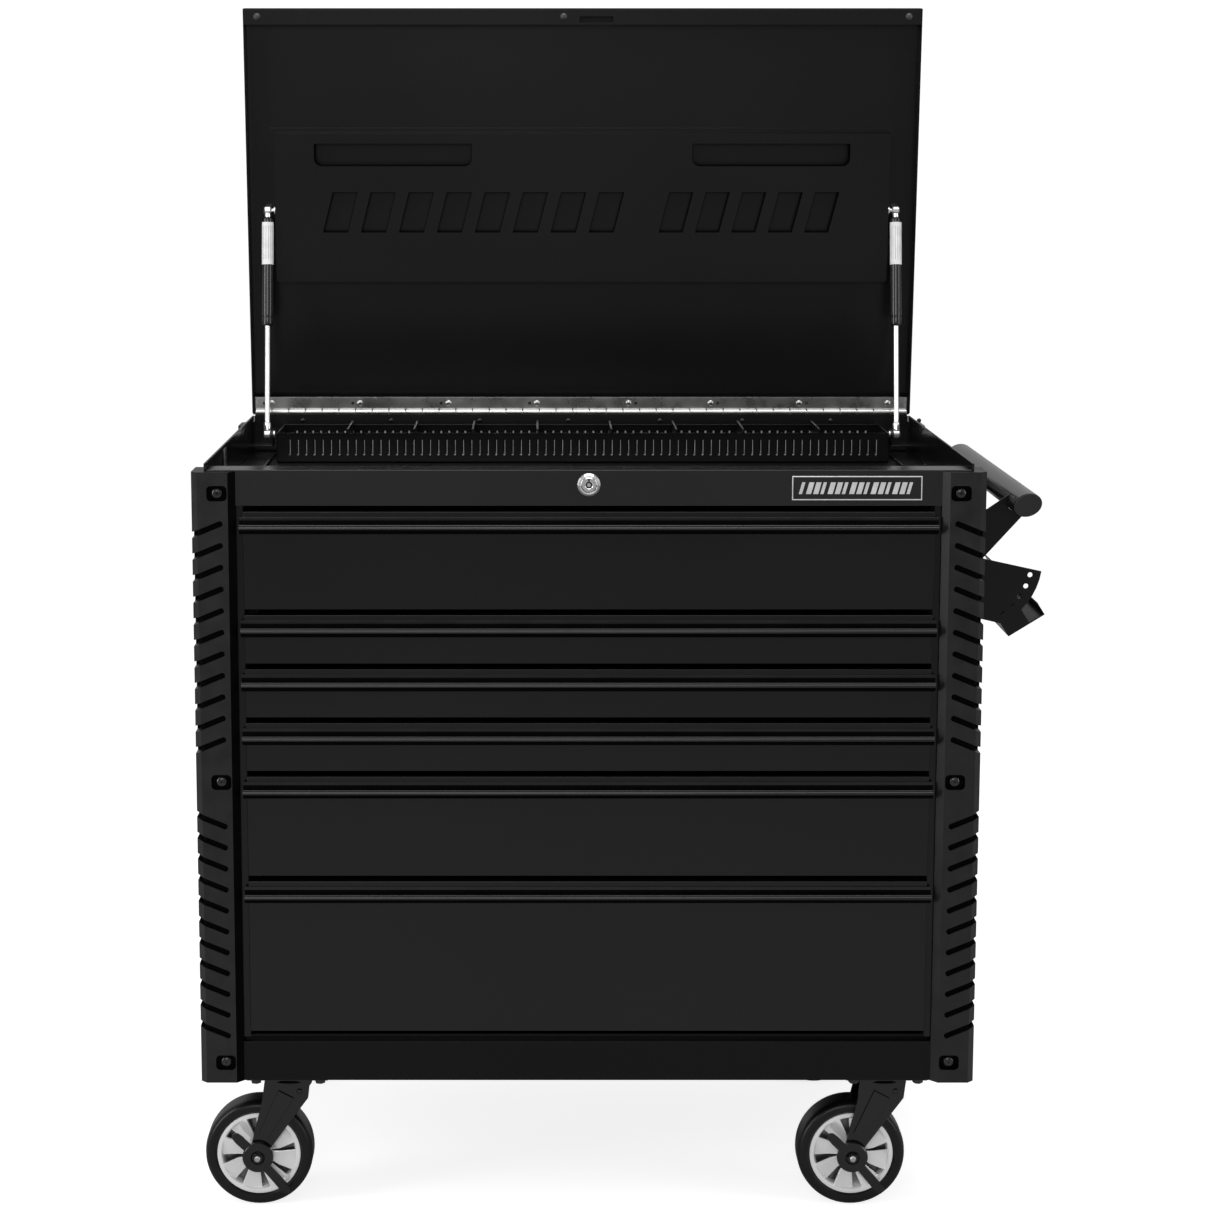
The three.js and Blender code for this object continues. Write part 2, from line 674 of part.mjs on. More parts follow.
// Each strut stands between its foot on the side panel and its head on the lid. Inside the strut
// group Z runs along it from the foot.
const open = THREE.MathUtils.degToRad(LID_OPEN);
const headY = hingeY - headAlong * Math.cos(open) + STRUT_HEAD.rise * Math.sin(open);
const headZ = hingeZ + headAlong * Math.sin(open) + STRUT_HEAD.rise * Math.cos(open);
const strutLength = Math.hypot(headY - footY, headZ - footZ);
const cylinderTop = strutLength - STRUT_CYLINDER.cap;
const cylinderLow = cylinderTop - STRUT_CYLINDER.share * strutLength;
for (const [name, side] of Object.entries(SIDES)) {
  const strut = new THREE.Group();
  strut.position.set(side * strutX, footY, footZ);
  strut.rotation.x = -Math.atan2(headY - footY, headZ - footZ);
  chest.add(strut);
  const eye = (z) =>
    bar("x", STRUT_EYE.radius, [0, z], -STRUT_EYE.width / 2, STRUT_EYE.width / 2);
  const rod = bar("z", STRUT_ROD_RADIUS, [0, 0], 3, cylinderLow + STRUT_CYLINDER.bore);
  place(`${name}_strut_rod`, join(eye(0), rod), chrome, strut);
  const neck = bar("z", STRUT_ROD_RADIUS, [0, 0], cylinderTop - 1, strutLength - 3);
  const barrel = bar("z", STRUT_CYLINDER.radius, [0, 0], cylinderLow, cylinderTop, 16);
  const boreTop = cylinderTop - STRUT_CYLINDER.bore;
  const rodRoom = bar("z", STRUT_ROD_RADIUS + CLEARANCE, [0, 0], cylinderLow - 1, boreTop);
  place(`${name}_strut_cylinder`, cut(join(barrel, neck, eye(strutLength)), rodRoom), blackTrim, strut);
}

// ---------------------------------------------------------------- sliding tray with dividers

const trayRear = backY - TRAY.rearGap;
const trayFront = trayRear - TRAY.depth;
const trayLow = floorTop + CLEARANCE;
const trayHigh = trayLow + TRAY.height;
const trayHalf = halfWidth - TRAY.inset;
const trayTub = cut(
  block([-trayHalf, trayHalf], [trayFront, trayRear], [trayLow, trayHigh]),
  block(
    [-trayHalf + TRAY.wall, trayHalf - TRAY.wall],
    [trayFront + TRAY.wall, trayRear - TRAY.wall],
    [trayLow + TRAY.wall, trayHigh + 1],
  ),
);
const dividers = DIVIDERS.map((share) =>
  block(
    [share * trayHalf - DIVIDER.thickness / 2, share * trayHalf + DIVIDER.thickness / 2],
    [trayFront + TRAY.wall / 2, trayRear - TRAY.wall / 2],
    [trayLow + TRAY.wall / 2, trayHigh + DIVIDER.rise],
  ),
);
place("divider_tray", join(trayTub, ...dividers), blackPaint);

// ---------------------------------------------------------------- lock and badge

const ring = (outer, inner, from, to) =>
  cut(
    bar("y", outer, [0, 0], from, to, 24),
    bar("y", inner, [0, 0], from - 1, to + 1, 16),
  );
place(
  "lock_bezel",
  moved(
    ring(LOCK.bezel, LOCK.cylinder + CLEARANCE, frontY - LOCK.proud, frontY - CLEARANCE),
    0,
    0,
    lockZ,
  ),
  chrome,
);
const lockFace = frontY - LOCK.proud - 1;
const lockBack = lockFace + LOCK.length;
const [camWidth, camReach] = LOCK.cam;
const lockBarrel = bar("y", LOCK.cylinder, [lockZ, 0], lockFace, lockBack, 16);
const lockCam = block(
  [-camWidth / 2, camWidth / 2],
  [lockBack - LOCK.camSheet, lockBack],
  [lockZ - camReach, lockZ],
);
place("lock_cylinder", join(lockBarrel, lockCam), chrome);
const badgeRight = stileInner - BADGE.inset;
const badgeZ = caseTop - BADGE.drop;
place(
  "badge_plate",
  block(
    [badgeRight - BADGE.width, badgeRight],
    [frontY - CLEARANCE - BADGE.thickness, frontY - CLEARANCE],
    [badgeZ - BADGE.height / 2, badgeZ + BADGE.height / 2],
  ),
  chrome,
);

// ---------------------------------------------------------------- push handle

// An oval tube along the right side, closed at its front end, on two plates with a foot against
// the side panel.
const handleX = halfWidth + HANDLE.reach;
const handleZ = caseTop - HANDLE.drop;
const handleTo = backY - HANDLE.rear;
function oval(major, minor) {
  const tilt = THREE.MathUtils.degToRad(HANDLE.tilt);
  return arc([0, 0], 1, 0, 342, 19).map(([c, s]) => {
    const along = (c * major) / 2;
    const across = (s * minor) / 2;
    return [
      handleZ + along * Math.sin(tilt) + across * Math.cos(tilt),
      handleX + along * Math.cos(tilt) - across * Math.sin(tilt),
    ];
  });
}
const tubeOuter = prism("y", oval(HANDLE.major, HANDLE.minor), HANDLE.from, handleTo);
const tubeInner = prism(
  "y",
  oval(HANDLE.major - 2 * HANDLE.wall, HANDLE.minor - 2 * HANDLE.wall),
  HANDLE.from + HANDLE.wall,
  handleTo + 1,
);
place("handle_tube", cut(tubeOuter, tubeInner), blackTrim);

const tubeRoom = prism(
  "y",
  oval(HANDLE.major + 2 * CLEARANCE, HANDLE.minor + 2 * CLEARANCE),
  HANDLE.from,
  handleTo,
);
const wallFace = halfWidth + CLEARANCE;
for (const [name, y] of [["front", HANDLE_PLATE.front], ["rear", backY - HANDLE_PLATE.rear]]) {
  const plateLow = caseTop - HANDLE_PLATE.low;
  const plateHigh = caseTop - HANDLE_PLATE.high;
  const web = prism(
    "y",
    [
      [plateLow, wallFace],
      [handleZ - 17, handleX + 7],
      [handleZ, handleX],
      [handleZ + 11, handleX - 12],
      [plateHigh, wallFace],
    ],
    y,
    y + HANDLE_PLATE.thickness,
  );
  const footTo = name === "front" ? y + HANDLE_PLATE.foot : y + HANDLE_PLATE.thickness;
  const foot = block(
    [wallFace, wallFace + HANDLE_PLATE.thickness],
    [footTo - HANDLE_PLATE.foot, footTo],
    [plateLow, plateHigh],
  );
  place(`handle_bracket_${name}`, join(cut(web, tubeRoom), foot), blackPaint);
}

// ---------------------------------------------------------------- pry-bar rack

// Two fan plates with a row of holes carry a channel that swings about their centre and is pinned
// in one of the holes. Directions are measured in degrees below the horizontal.
const fanX = halfWidth + RACK.out;
const fanZ = caseTop - RACK.drop;
const toward = (degrees, distance) => {
  const turn = THREE.MathUtils.degToRad(degrees);
  return [fanZ - distance * Math.sin(turn), fanX + distance * Math.cos(turn)];
};
const ARC_STEPS = 8;
const fanTurn = FAN_HOLES.step * (FAN_HOLES.count - 1) + 2 * FAN.margin;
const fanArc = Array.from({ length: ARC_STEPS + 1 }, (_, i) =>
  toward(FAN_HOLES.first - FAN.margin + (fanTurn * i) / ARC_STEPS, FAN.radius),
);
const fanTop = fanZ + FAN.wallRise;
const fanLow = fanZ - FAN.wallDrop;
for (const [name, y] of [["front", RACK.front], ["rear", backY - RACK.rear]]) {
  const outline = [[fanTop, wallFace], ...fanArc, [fanLow, wallFace]];
  const web = prism("y", outline, y, y + RACK.thickness);
  const holes = Array.from({ length: FAN_HOLES.count }, (_, i) => {
    const centre = toward(FAN_HOLES.first + i * FAN_HOLES.step, FAN_HOLES.circle);
    return bar("y", FAN_HOLES.radius, centre, y - 1, y + RACK.thickness + 1, 8);
  });
  const footFrom = name === "front" ? y : y + RACK.thickness - RACK.foot;
  const foot = block(
    [wallFace, wallFace + RACK.thickness],
    [footFrom, footFrom + RACK.foot],
    [fanLow, fanTop],
  );
  place(`rack_bracket_${name}`, join(cut(web, ...holes), foot), blackPaint);
}

// The channel: points of its section are measured from the fan centre, `out` across the bottom
// plate and `down` along the direction that the channel hangs in.
const hang = THREE.MathUtils.degToRad(CHANNEL.toward);
const channelPoint = ([out, down]) => [
  fanZ + out * Math.cos(hang) - down * Math.sin(hang),
  fanX + out * Math.sin(hang) + down * Math.cos(hang),
];
const { offset, inner, outer, wallIn, wallOut, sheet } = CHANNEL;
const rackFrom = RACK.front + RACK.thickness + CLEARANCE;
const rackTo = backY - RACK.rear - CLEARANCE;
const channelSection = [
  [-inner, offset - wallIn],
  [-inner, offset],
  [outer, offset],
  [outer, offset - wallOut],
  [outer - sheet, offset - wallOut],
  [outer - sheet, offset - sheet],
  [-inner + sheet, offset - sheet],
  [-inner + sheet, offset - wallIn],
].map(channelPoint);
const endPlate = [
  [-5, -8],
  [10, -10],
  [24, offset - wallIn],
  [outer / 2, offset - sheet / 2],
  [-inner, offset - sheet / 2],
  [-inner, offset - wallIn],
].map(channelPoint);
const channelBody = join(
  prism("y", channelSection, rackFrom, rackTo),
  prism("y", endPlate, rackFrom, rackFrom + RACK.thickness),
  prism("y", endPlate, rackTo - RACK.thickness, rackTo),
);
place("pry_rack", channelBody, blackPaint);

// ---------------------------------------------------------------- casters

const axleZ = wheelRadius;
const plateTop = caseBottom - CLEARANCE;
const plateLow = plateTop - CASTER_PLATE.thickness;
const racewayLow = plateLow - RACEWAY.height;
const forkTop = racewayLow - CLEARANCE;
const legGap = WHEEL_WIDTH / 2 + FORK.sideGap;
const TYRE_SEGMENTS = 28;
const flatOnFloor = 1 / Math.cos(Math.PI / TYRE_SEGMENTS); // a flat of the tyre lies on the floor

// A ring turned about the wheel's axle: points are [radius, distance from the wheel's mid plane].
function turned(points, segments) {
  const closed = [...points, points[0]].map(([r, y]) => new THREE.Vector2(r, y));
  const geometry = new THREE.LatheGeometry(closed, segments, Math.PI / segments);
  return solid(geometry);
}

for (const [name, side] of Object.entries(SIDES)) {
  for (const [end, y] of [
    ["front", frontY + CASTER_END_INSET - 1],
    ["rear", backY - CASTER_END_INSET - 2],
  ]) {
    const id = `${end}_${name}`;
    const caster = new THREE.Group();
    caster.position.set(side * (halfWidth - CASTER_SIDE_INSET), y, 0);
    chest.add(caster);

    const { length, width } = CASTER_PLATE;
    const plate = join(
      block([-length / 2, length / 2], [-width / 2, width / 2], [plateLow, plateTop]),
      bar("z", RACEWAY.radius, [0, 0], racewayLow, plateLow + 1, 20),
    );
    place(`caster_plate_${id}`, plate, blackTrim, caster);

    const axle = [axleZ, -CASTER_TRAIL];
    const crown = block(
      [-FORK.crownHalf - 4, FORK.crownHalf],
      [-legGap - FORK.sheet, legGap + FORK.sheet],
      [forkTop - FORK.sheet, forkTop],
    );
    const leg = [
      [forkTop - 0.5, FORK.crownHalf],
      [forkTop - 26, FORK.crownHalf - 3],
      ...arc(axle, FORK.axleEnd, 60, 240, 8),
      [forkTop - 30, -FORK.crownHalf - 8],
      [forkTop - 0.5, -FORK.crownHalf - 4],
    ];
    const legs = [-1, 1].map((face) => {
      const from = face < 0 ? -legGap - FORK.sheet : legGap;
      return prism("y", leg, from, from + FORK.sheet);
    });
    const spindle = bar(
      "y",
      AXLE_RADIUS,
      axle,
      -legGap - FORK.sheet - 3,
      legGap + FORK.sheet + 6,
    );
    place(`caster_fork_${id}`, join(crown, ...legs, spindle), blackTrim, caster);

    const rim = hubRadius;
    const hub = turned(
      [
        [AXLE_RADIUS + CLEARANCE + 0.3, -WHEEL_WIDTH / 2 + 1],
        [16, -WHEEL_WIDTH / 2 + 1],
        [24, -13],
        [rim - 12, -10],
        [rim - 4, -WHEEL_WIDTH / 2 + 3],
        [rim, -WHEEL_WIDTH / 2 + 3],
        [rim, WHEEL_WIDTH / 2 - 3],
        [rim - 4, WHEEL_WIDTH / 2 - 3],
        [rim - 12, 10],
        [24, 13],
        [16, WHEEL_WIDTH / 2 - 1],
        [AXLE_RADIUS + CLEARANCE + 0.3, WHEEL_WIDTH / 2 - 1],
      ],
      20,
    );
    place(`caster_hub_${id}`, moved(hub, -CASTER_TRAIL, 0, axleZ), chrome, caster);

    const bead = (rim + CLEARANCE) / Math.cos(Math.PI / TYRE_SEGMENTS);
    const tread = wheelRadius * flatOnFloor;
    const tyre = turned(
      [
        [bead, -WHEEL_WIDTH / 2 + 2],
        [tread - 6, -WHEEL_WIDTH / 2],
        [tread, -WHEEL_WIDTH / 2 + 6],
        [tread, WHEEL_WIDTH / 2 - 6],
        [tread - 6, WHEEL_WIDTH / 2],
        [bead, WHEEL_WIDTH / 2 - 2],
      ],
      TYRE_SEGMENTS,
    );
    place(`caster_tyre_${id}`, moved(tyre, -CASTER_TRAIL, 0, axleZ), tyreRubber, caster);

    if (end === "front") {
      const leverBack = -legGap - FORK.sheet - 3 - CLEARANCE;
      const lever = [leverBack - BRAKE.thickness, leverBack];
      const disc = bar("y", BRAKE.radius, axle, ...lever, 16);
      const arms = [
        [BRAKE.up, 135],
        [BRAKE.down, -50],
      ].map(([reach, angle]) => {
        const arm = block([0, reach], lever, [-BRAKE.armWidth / 2, BRAKE.armWidth / 2]);
        return moved(arm.rotate([0, -angle, 0]), -CASTER_TRAIL, 0, axleZ);
      });
      place(`brake_lever_${id}`, join(disc, ...arms), blackPlastic, caster);
    }
  }
}

// ---------------------------------------------------------------- the whole chest

// The origin is moved to the middle of the footprint, on the floor.
chest.updateMatrixWorld(true);
const box = new THREE.Box3().setFromObject(chest, true);
const group = new THREE.Group();
chest.position.set(-(box.min.x + box.max.x) / 2, -(box.min.y + box.max.y) / 2, -box.min.z);
group.add(chest);

export default group;
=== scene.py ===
import json
import math

import bmesh
import bpy
from mathutils import Matrix, Vector


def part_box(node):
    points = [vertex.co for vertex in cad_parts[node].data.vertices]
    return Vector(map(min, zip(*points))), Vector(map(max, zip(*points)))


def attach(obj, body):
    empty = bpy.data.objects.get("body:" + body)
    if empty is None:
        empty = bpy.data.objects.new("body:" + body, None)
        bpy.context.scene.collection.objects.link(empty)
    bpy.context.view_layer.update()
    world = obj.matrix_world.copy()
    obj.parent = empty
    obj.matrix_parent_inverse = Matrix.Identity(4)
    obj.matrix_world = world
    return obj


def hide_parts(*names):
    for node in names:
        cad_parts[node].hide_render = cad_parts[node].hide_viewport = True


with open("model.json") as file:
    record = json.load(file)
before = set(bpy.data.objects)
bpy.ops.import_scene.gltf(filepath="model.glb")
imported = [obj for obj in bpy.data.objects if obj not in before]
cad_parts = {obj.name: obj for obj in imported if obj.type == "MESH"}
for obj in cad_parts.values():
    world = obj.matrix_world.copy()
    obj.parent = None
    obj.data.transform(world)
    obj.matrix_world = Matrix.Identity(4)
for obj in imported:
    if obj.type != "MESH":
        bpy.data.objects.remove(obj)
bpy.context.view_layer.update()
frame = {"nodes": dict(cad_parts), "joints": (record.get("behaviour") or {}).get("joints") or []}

# ---------------------------------------------------------------- camera
# It stands a little left of the chest's middle and above the lid's hinge, three and a half metres
# off, and looks slightly down with a short telephoto lens.
rail_low, rail_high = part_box("top_rail")
middle_x = (rail_low.x + rail_high.x) / 2
frame_y = rail_low.y
lens = bpy.data.cameras.new("camera")
lens.lens, lens.sensor_width = 77.1, 36
lens.shift_x, lens.shift_y = 0.063, -0.09
camera_left, camera_off, camera_height, camera_dip = 0.0718, 3.518, 1.50, 7.89
camera = bpy.data.objects.new("camera", lens)
camera.location = (middle_x - camera_left, frame_y - camera_off, camera_height)
camera.rotation_euler = (math.radians(90 - camera_dip), 0, 0)
bpy.context.collection.objects.link(camera)
bpy.context.scene.camera = camera

# ---------------------------------------------------------------- floor and light
# A plain white studio: the floor and sky fill the view with white but throw only part of that
# light, and large soft boxes stand above the chest, on each side and behind the camera.
scene = bpy.context.scene
scene.view_settings.view_transform = "Standard"
ground = bpy.data.materials.new("pale studio floor")
ground.use_nodes = True
ground_nodes, ground_links = ground.node_tree.nodes, ground.node_tree.links
ground_shader = ground_nodes["Principled BSDF"]
ground_shader.inputs["Base Color"].default_value = (0.5, 0.5, 0.5, 1)
ground_shader.inputs["Roughness"].default_value = 0.9
ground_shader.inputs["Specular IOR Level"].default_value = 0.1
ground_shader.inputs["Emission Color"].default_value = (1, 1, 1, 1)
seen_floor = ground_nodes.new("ShaderNodeMath")
seen_floor.operation = "MULTIPLY"
seen_floor.inputs[1].default_value = 0.8
ground_links.new(ground_nodes.new("ShaderNodeLightPath").outputs["Is Camera Ray"], seen_floor.inputs[0])
ground_links.new(seen_floor.outputs["Value"], ground_shader.inputs["Emission Strength"])
floor_mesh = bmesh.new()
bmesh.ops.create_grid(floor_mesh, x_segments=1, y_segments=1, size=30)
floor_data = bpy.data.meshes.new("studio_floor")
floor_mesh.to_mesh(floor_data)
floor_mesh.free()
floor_data.materials.append(ground)
studio_floor = bpy.data.objects.new("studio_floor", floor_data)
bpy.context.collection.objects.link(studio_floor)

sky = bpy.data.worlds.new("white studio")
scene.world = sky
sky.use_nodes = True
sky.node_tree.nodes["Background"].inputs["Color"].default_value = (1, 1, 1, 1)
seen_sky = sky.node_tree.nodes.new("ShaderNodeMapRange")
seen_sky.inputs["To Min"].default_value, seen_sky.inputs["To Max"].default_value = 0.42, 1.05
sky.node_tree.links.new(sky.node_tree.nodes.new("ShaderNodeLightPath").outputs["Is Camera Ray"],
                        seen_sky.inputs["Value"])
sky.node_tree.links.new(seen_sky.outputs["Result"], sky.node_tree.nodes["Background"].inputs["Strength"])


def soft_box(name, place, target, size, power):
    light = bpy.data.lights.new(name, "AREA")
    light.shape, light.size, light.size_y, light.energy = "RECTANGLE", size[0], size[1], power
    lamp = bpy.data.objects.new(name, light)
    lamp.location = place
    lamp.rotation_euler = (Vector(target) - Vector(place)).to_track_quat("-Z", "Y").to_euler()
    bpy.context.collection.objects.link(lamp)


soft_box("overhead_box", (0, -0.6, 3.6), (0, 0, 0.8), (3.0, 2.0), 60)
soft_box("left_box", (-3.2, -1.6, 1.6), (-0.3, 0, 0.8), (0.8, 2.6), 45)
soft_box("right_box", (3.2, -1.6, 1.6), (0.3, 0, 0.8), (0.8, 2.6), 24)
soft_box("camera_box", (-0.6, -4.6, 2.6), (0, 0, 0.9), (2.4, 1.6), 40)

# ---------------------------------------------------------------- case panels
# The shell of the case: folded steel sheet with a black semi-gloss powder coat, spot welded at
# the corners. The coat has a faint orange peel and slightly duller patches.


def coating(name, dark, light, rough, peel, depth, patches=6, metallic=0.0, shine=0.5, stretch=None):
    """A finish whose tone and gloss drift across the surface over a fine bump."""
    material = bpy.data.materials.new(name)
    material.use_nodes = True
    nodes, links = material.node_tree.nodes, material.node_tree.links
    shader = nodes["Principled BSDF"]
    shader.inputs["Metallic"].default_value = metallic
    shader.inputs["Specular IOR Level"].default_value = shine
    place = nodes.new("ShaderNodeTexCoord").outputs["Object"]
    drift = nodes.new("ShaderNodeTexNoise")
    drift.inputs["Scale"].default_value = patches
    drift.inputs["Detail"].default_value = 5
    links.new(place, drift.inputs["Vector"])
    tone = nodes.new("ShaderNodeValToRGB")
    tone.color_ramp.elements[0].position, tone.color_ramp.elements[0].color = 0.35, (*dark, 1)
    tone.color_ramp.elements[1].position, tone.color_ramp.elements[1].color = 0.65, (*light, 1)
    links.new(drift.outputs["Fac"], tone.inputs["Fac"])
    links.new(tone.outputs["Color"], shader.inputs["Base Color"])
    gloss = nodes.new("ShaderNodeMapRange")
    gloss.inputs["From Min"].default_value, gloss.inputs["From Max"].default_value = 0.3, 0.7
    gloss.inputs["To Min"].default_value, gloss.inputs["To Max"].default_value = rough
    links.new(drift.outputs["Fac"], gloss.inputs["Value"])
    links.new(gloss.outputs["Result"], shader.inputs["Roughness"])
    grain = nodes.new("ShaderNodeTexNoise")
    grain.inputs["Scale"].default_value = peel
    grain.inputs["Detail"].default_value = 2
    if stretch:
        drawn = nodes.new("ShaderNodeMapping")
        drawn.inputs["Scale"].default_value = stretch
        links.new(place, drawn.inputs["Vector"])
        links.new(drawn.outputs["Vector"], grain.inputs["Vector"])
    else:
        links.new(place, grain.inputs["Vector"])
    relief = nodes.new("ShaderNodeBump")
    relief.inputs["Strength"].default_value = 0.6
    relief.inputs["Distance"].default_value = depth
    links.new(grain.outputs["Fac"], relief.inputs["Height"])
    links.new(relief.outputs["Normal"], shader.inputs["Normal"])
    return material


def settle(name, bm, body, slot, finish, *covers, turn_out=True):
    """Turns a bmesh into a named piece on a body, in its finish, in place of the CAD nodes."""
    if turn_out:
        bmesh.ops.recalc_face_normals(bm, faces=bm.faces)
    mesh = bpy.data.meshes.new(name)
    bm.to_mesh(mesh)
    bm.free()
    for one in finish if isinstance(finish, tuple) else (finish,):
        mesh.materials.append(one)
    mesh.shade_smooth()
    mesh.set_sharp_from_angle(angle=math.radians(32))
    flat_from = 0.02  # square metres: a broad sheet face is shaded flat
    for face in mesh.polygons:
        if face.area > flat_from:
            face.use_smooth = False
    made = bpy.data.objects.new(name, mesh)
    bpy.context.collection.objects.link(made)
    level = made.modifiers.new("even faces", "WEIGHTED_NORMAL")
    level.keep_sharp = True
    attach(made, body)
    if covers:
        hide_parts(*covers)


def copied(node):
    """A CAD node's shape with its flat faces made whole."""
    bm = bmesh.new()
    bm.from_mesh(frame["nodes"][node].data)
    bmesh.ops.remove_doubles(bm, verts=bm.verts, dist=1e-5)
    bmesh.ops.dissolve_limit(bm, angle_limit=math.radians(0.5), verts=bm.verts, edges=bm.edges)
    return bm


def folds_of(bm, sharper_than):
    """The edges where two faces meet at more than an angle in degrees."""
    return [e for e in bm.edges if e.is_manifold and e.calc_face_angle() > math.radians(sharper_than)]


def round_over(bm, edges, radius, rounds=2):
    """Rounds edges, and hands back what the bevel made."""
    return bmesh.ops.bevel(bm, geom=edges, offset=radius, offset_type="OFFSET", segments=rounds,
                           profile=0.5, affect="EDGES", clamp_overlap=True, material=-1)


def dress(name, node, radius, body, slot, finish, rounds=2):
    """A copy of a CAD node, its folds and cut edges rounded, in place of the node."""
    bm = copied(node)
    round_over(bm, folds_of(bm, 24), radius, rounds)
    settle(name, bm, body, slot, finish, node, turn_out=False)


def sheet_coat(name, dark, light, rough, shine):
    """A powder coat on sheet steel, which drifts slowly across a panel."""
    return coating(name, (dark,) * 3, (light,) * 3, rough, 420, 0.00005, patches=2.5, shine=shine)


powder_coat = sheet_coat("black powder coat", 0.0030, 0.0038, (0.23, 0.26), 0.34)
# A darker copy of the powder coat for the compartment floor and the tray: painted shade inside the
# compartment.
well_shade_coat = sheet_coat("black compartment coat, painted darker", 0.0012, 0.0018, (0.26, 0.32), 0.2)
# A lighter, glossier copy of the powder coat for the top rail: painted light.
rail_lit_coat = sheet_coat("black rail coat, painted lighter", 0.0040, 0.0048, (0.23, 0.26), 0.62)
# A darker copy of the powder coat for the base pan: painted shade low on the chest.
sill_shade_coat = sheet_coat("black sill coat, painted darker", 0.0020, 0.0026, (0.23, 0.26), 0.18)
for node, finish in (("left_side_panel", powder_coat), ("right_side_panel", powder_coat),
                     ("back_panel", powder_coat), ("base_pan", sill_shade_coat), ("compartment_floor", well_shade_coat)):
    dress(f"{node}_skin", node, 0.0005, "case", "paint", finish)
dress("top_rail_skin", "top_rail", 0.0009, "case", "paint", rail_lit_coat, 3)

# ---------------------------------------------------------------- slide racks
# Zinc-plated steel uprights riveted to the side walls, with the fixed half of each ball-bearing
# slide. They show once a drawer is pulled out; black folded strips close the gap beside the fronts.


def block(bm, low, high, radius=0.0):
    """A box between two corners, with its edges rounded."""
    low, high = Vector(low), Vector(high)
    corners = bmesh.ops.create_cube(bm, size=1)["verts"]
    bmesh.ops.scale(bm, vec=high - low, verts=corners)
    bmesh.ops.translate(bm, vec=(low + high) / 2, verts=corners)
    if radius:
        round_over(bm, list({e for v in corners for e in v.link_edges}), radius)


zinc_plate = coating("zinc plate", (0.42, 0.42, 0.41), (0.56, 0.56, 0.55), (0.28, 0.42), 60, 0.00004,
                     patches=30, metallic=1.0, stretch=(60, 3, 60))
strip_reach, strip_tuck, strip_foot = 0.0104, 0.0005, 0.2610
for side in ("left", "right"):
    rack = f"{side}_slide_rack"
    dress(f"{rack}_skin", rack, 0.0004, "case", "zinc", zinc_plate)
    panel_low, panel_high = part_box(f"{side}_side_panel")
    rack_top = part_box(rack)[1].z
    if side == "left":
        near, far = panel_high.x - strip_tuck, panel_high.x + strip_reach
    else:
        near, far = panel_low.x - strip_reach, panel_low.x + strip_tuck
    bm = bmesh.new()
    block(bm, (near, frame_y + 0.0040, strip_foot), (far, frame_y + 0.0052, rack_top), 0.0003)
    settle(f"{side}_gap_strip", bm, "case", "paint", powder_coat)

# ---------------------------------------------------------------- drawers
# Each drawer is a folded steel tub behind a double-skinned front, finished like the case. Its
# sliding half of the runner is zinc plated and a ribbed rubber mat lies on its floor.


def drawn_out(bm, outline, reach, put=None, radius=0.0):
    """A flat outline of three-dimensional points pushed along a vector into a solid."""
    corners = [bm.verts.new(point) for point in outline]
    face = bm.faces.new(corners)
    pushed = bmesh.ops.extrude_face_region(bm, geom=[face])["geom"]
    far = [v for v in pushed if isinstance(v, bmesh.types.BMVert)]
    bmesh.ops.translate(bm, vec=reach, verts=far)
    whole = corners + far
    if radius:
        rims = {e for f in (face, *[f for f in pushed if isinstance(f, bmesh.types.BMFace)])
                for e in f.edges}
        cut = round_over(bm, list(rims), radius)
        whole = list({v for v in whole if v.is_valid} | set(cut["verts"]))
    if put:
        bmesh.ops.transform(bm, matrix=put, verts=whole)


drawer_enamel = sheet_coat("black drawer enamel", 0.0030, 0.0038, (0.24, 0.27), 0.36)
mat_rubber = coating("ribbed drawer mat", (0.012,) * 3, (0.02,) * 3, (0.7, 0.85), 300, 0.0004)
tub_sheet, tub_inset, tub_rise, rim_drop = 0.0012, 0.0082, 0.006, 0.012
mat_ribs, mat_edge = 76, 0.003
for number in range(1, 7):
    body = f"drawer_{number}"
    box_low, box_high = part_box(f"{body}_box")
    dress(f"{body}_box_skin", f"{body}_box", 0.0006, body, "paint", drawer_enamel)

    tub_half = (box_high.x - box_low.x) / 2 - tub_inset - tub_sheet
    tub_floor = box_low.z + tub_rise + tub_sheet
    bm = bmesh.new()
    step = (2 * tub_half - 2 * mat_edge) / mat_ribs
    section = []
    for rib in range(mat_ribs):
        left = -tub_half + mat_edge + rib * step
        section += [(left, 0.0014), (left + step * 0.55, 0.0014), (left + step * 0.6, 0.0008),
                    (left + step * 0.95, 0.0008)]
    section += [(tub_half - mat_edge, 0.0002), (-tub_half + mat_edge, 0.0002)]
    drawn_out(bm, [(middle_x + x, box_low.y + 0.020, tub_floor + z) for x, z in section],
              Vector((0, box_high.y - box_low.y - 0.024, 0)))
    settle(f"{body}_mat", bm, body, "tyre", mat_rubber)

    bm = bmesh.new()
    slide_z = (box_low.z + tub_rise + box_high.z - rim_drop) / 2
    for side in (-1, 1):
        inner = middle_x + side * (tub_half + tub_sheet)
        web, outer = inner + side * 0.0015, inner + side * 0.0060
        channel = [(inner, -0.0078), (outer, -0.0078), (outer, -0.0062), (web, -0.0062),
                   (web, 0.0062), (outer, 0.0062), (outer, 0.0078), (inner, 0.0078)]
        drawn_out(bm, [(x + side * 0.0004, frame_y + 0.0255, slide_z + z) for x, z in channel],
                  Vector((0, box_high.y - frame_y - 0.027, 0)))
    settle(f"{body}_runners", bm, body, "zinc", zinc_plate)

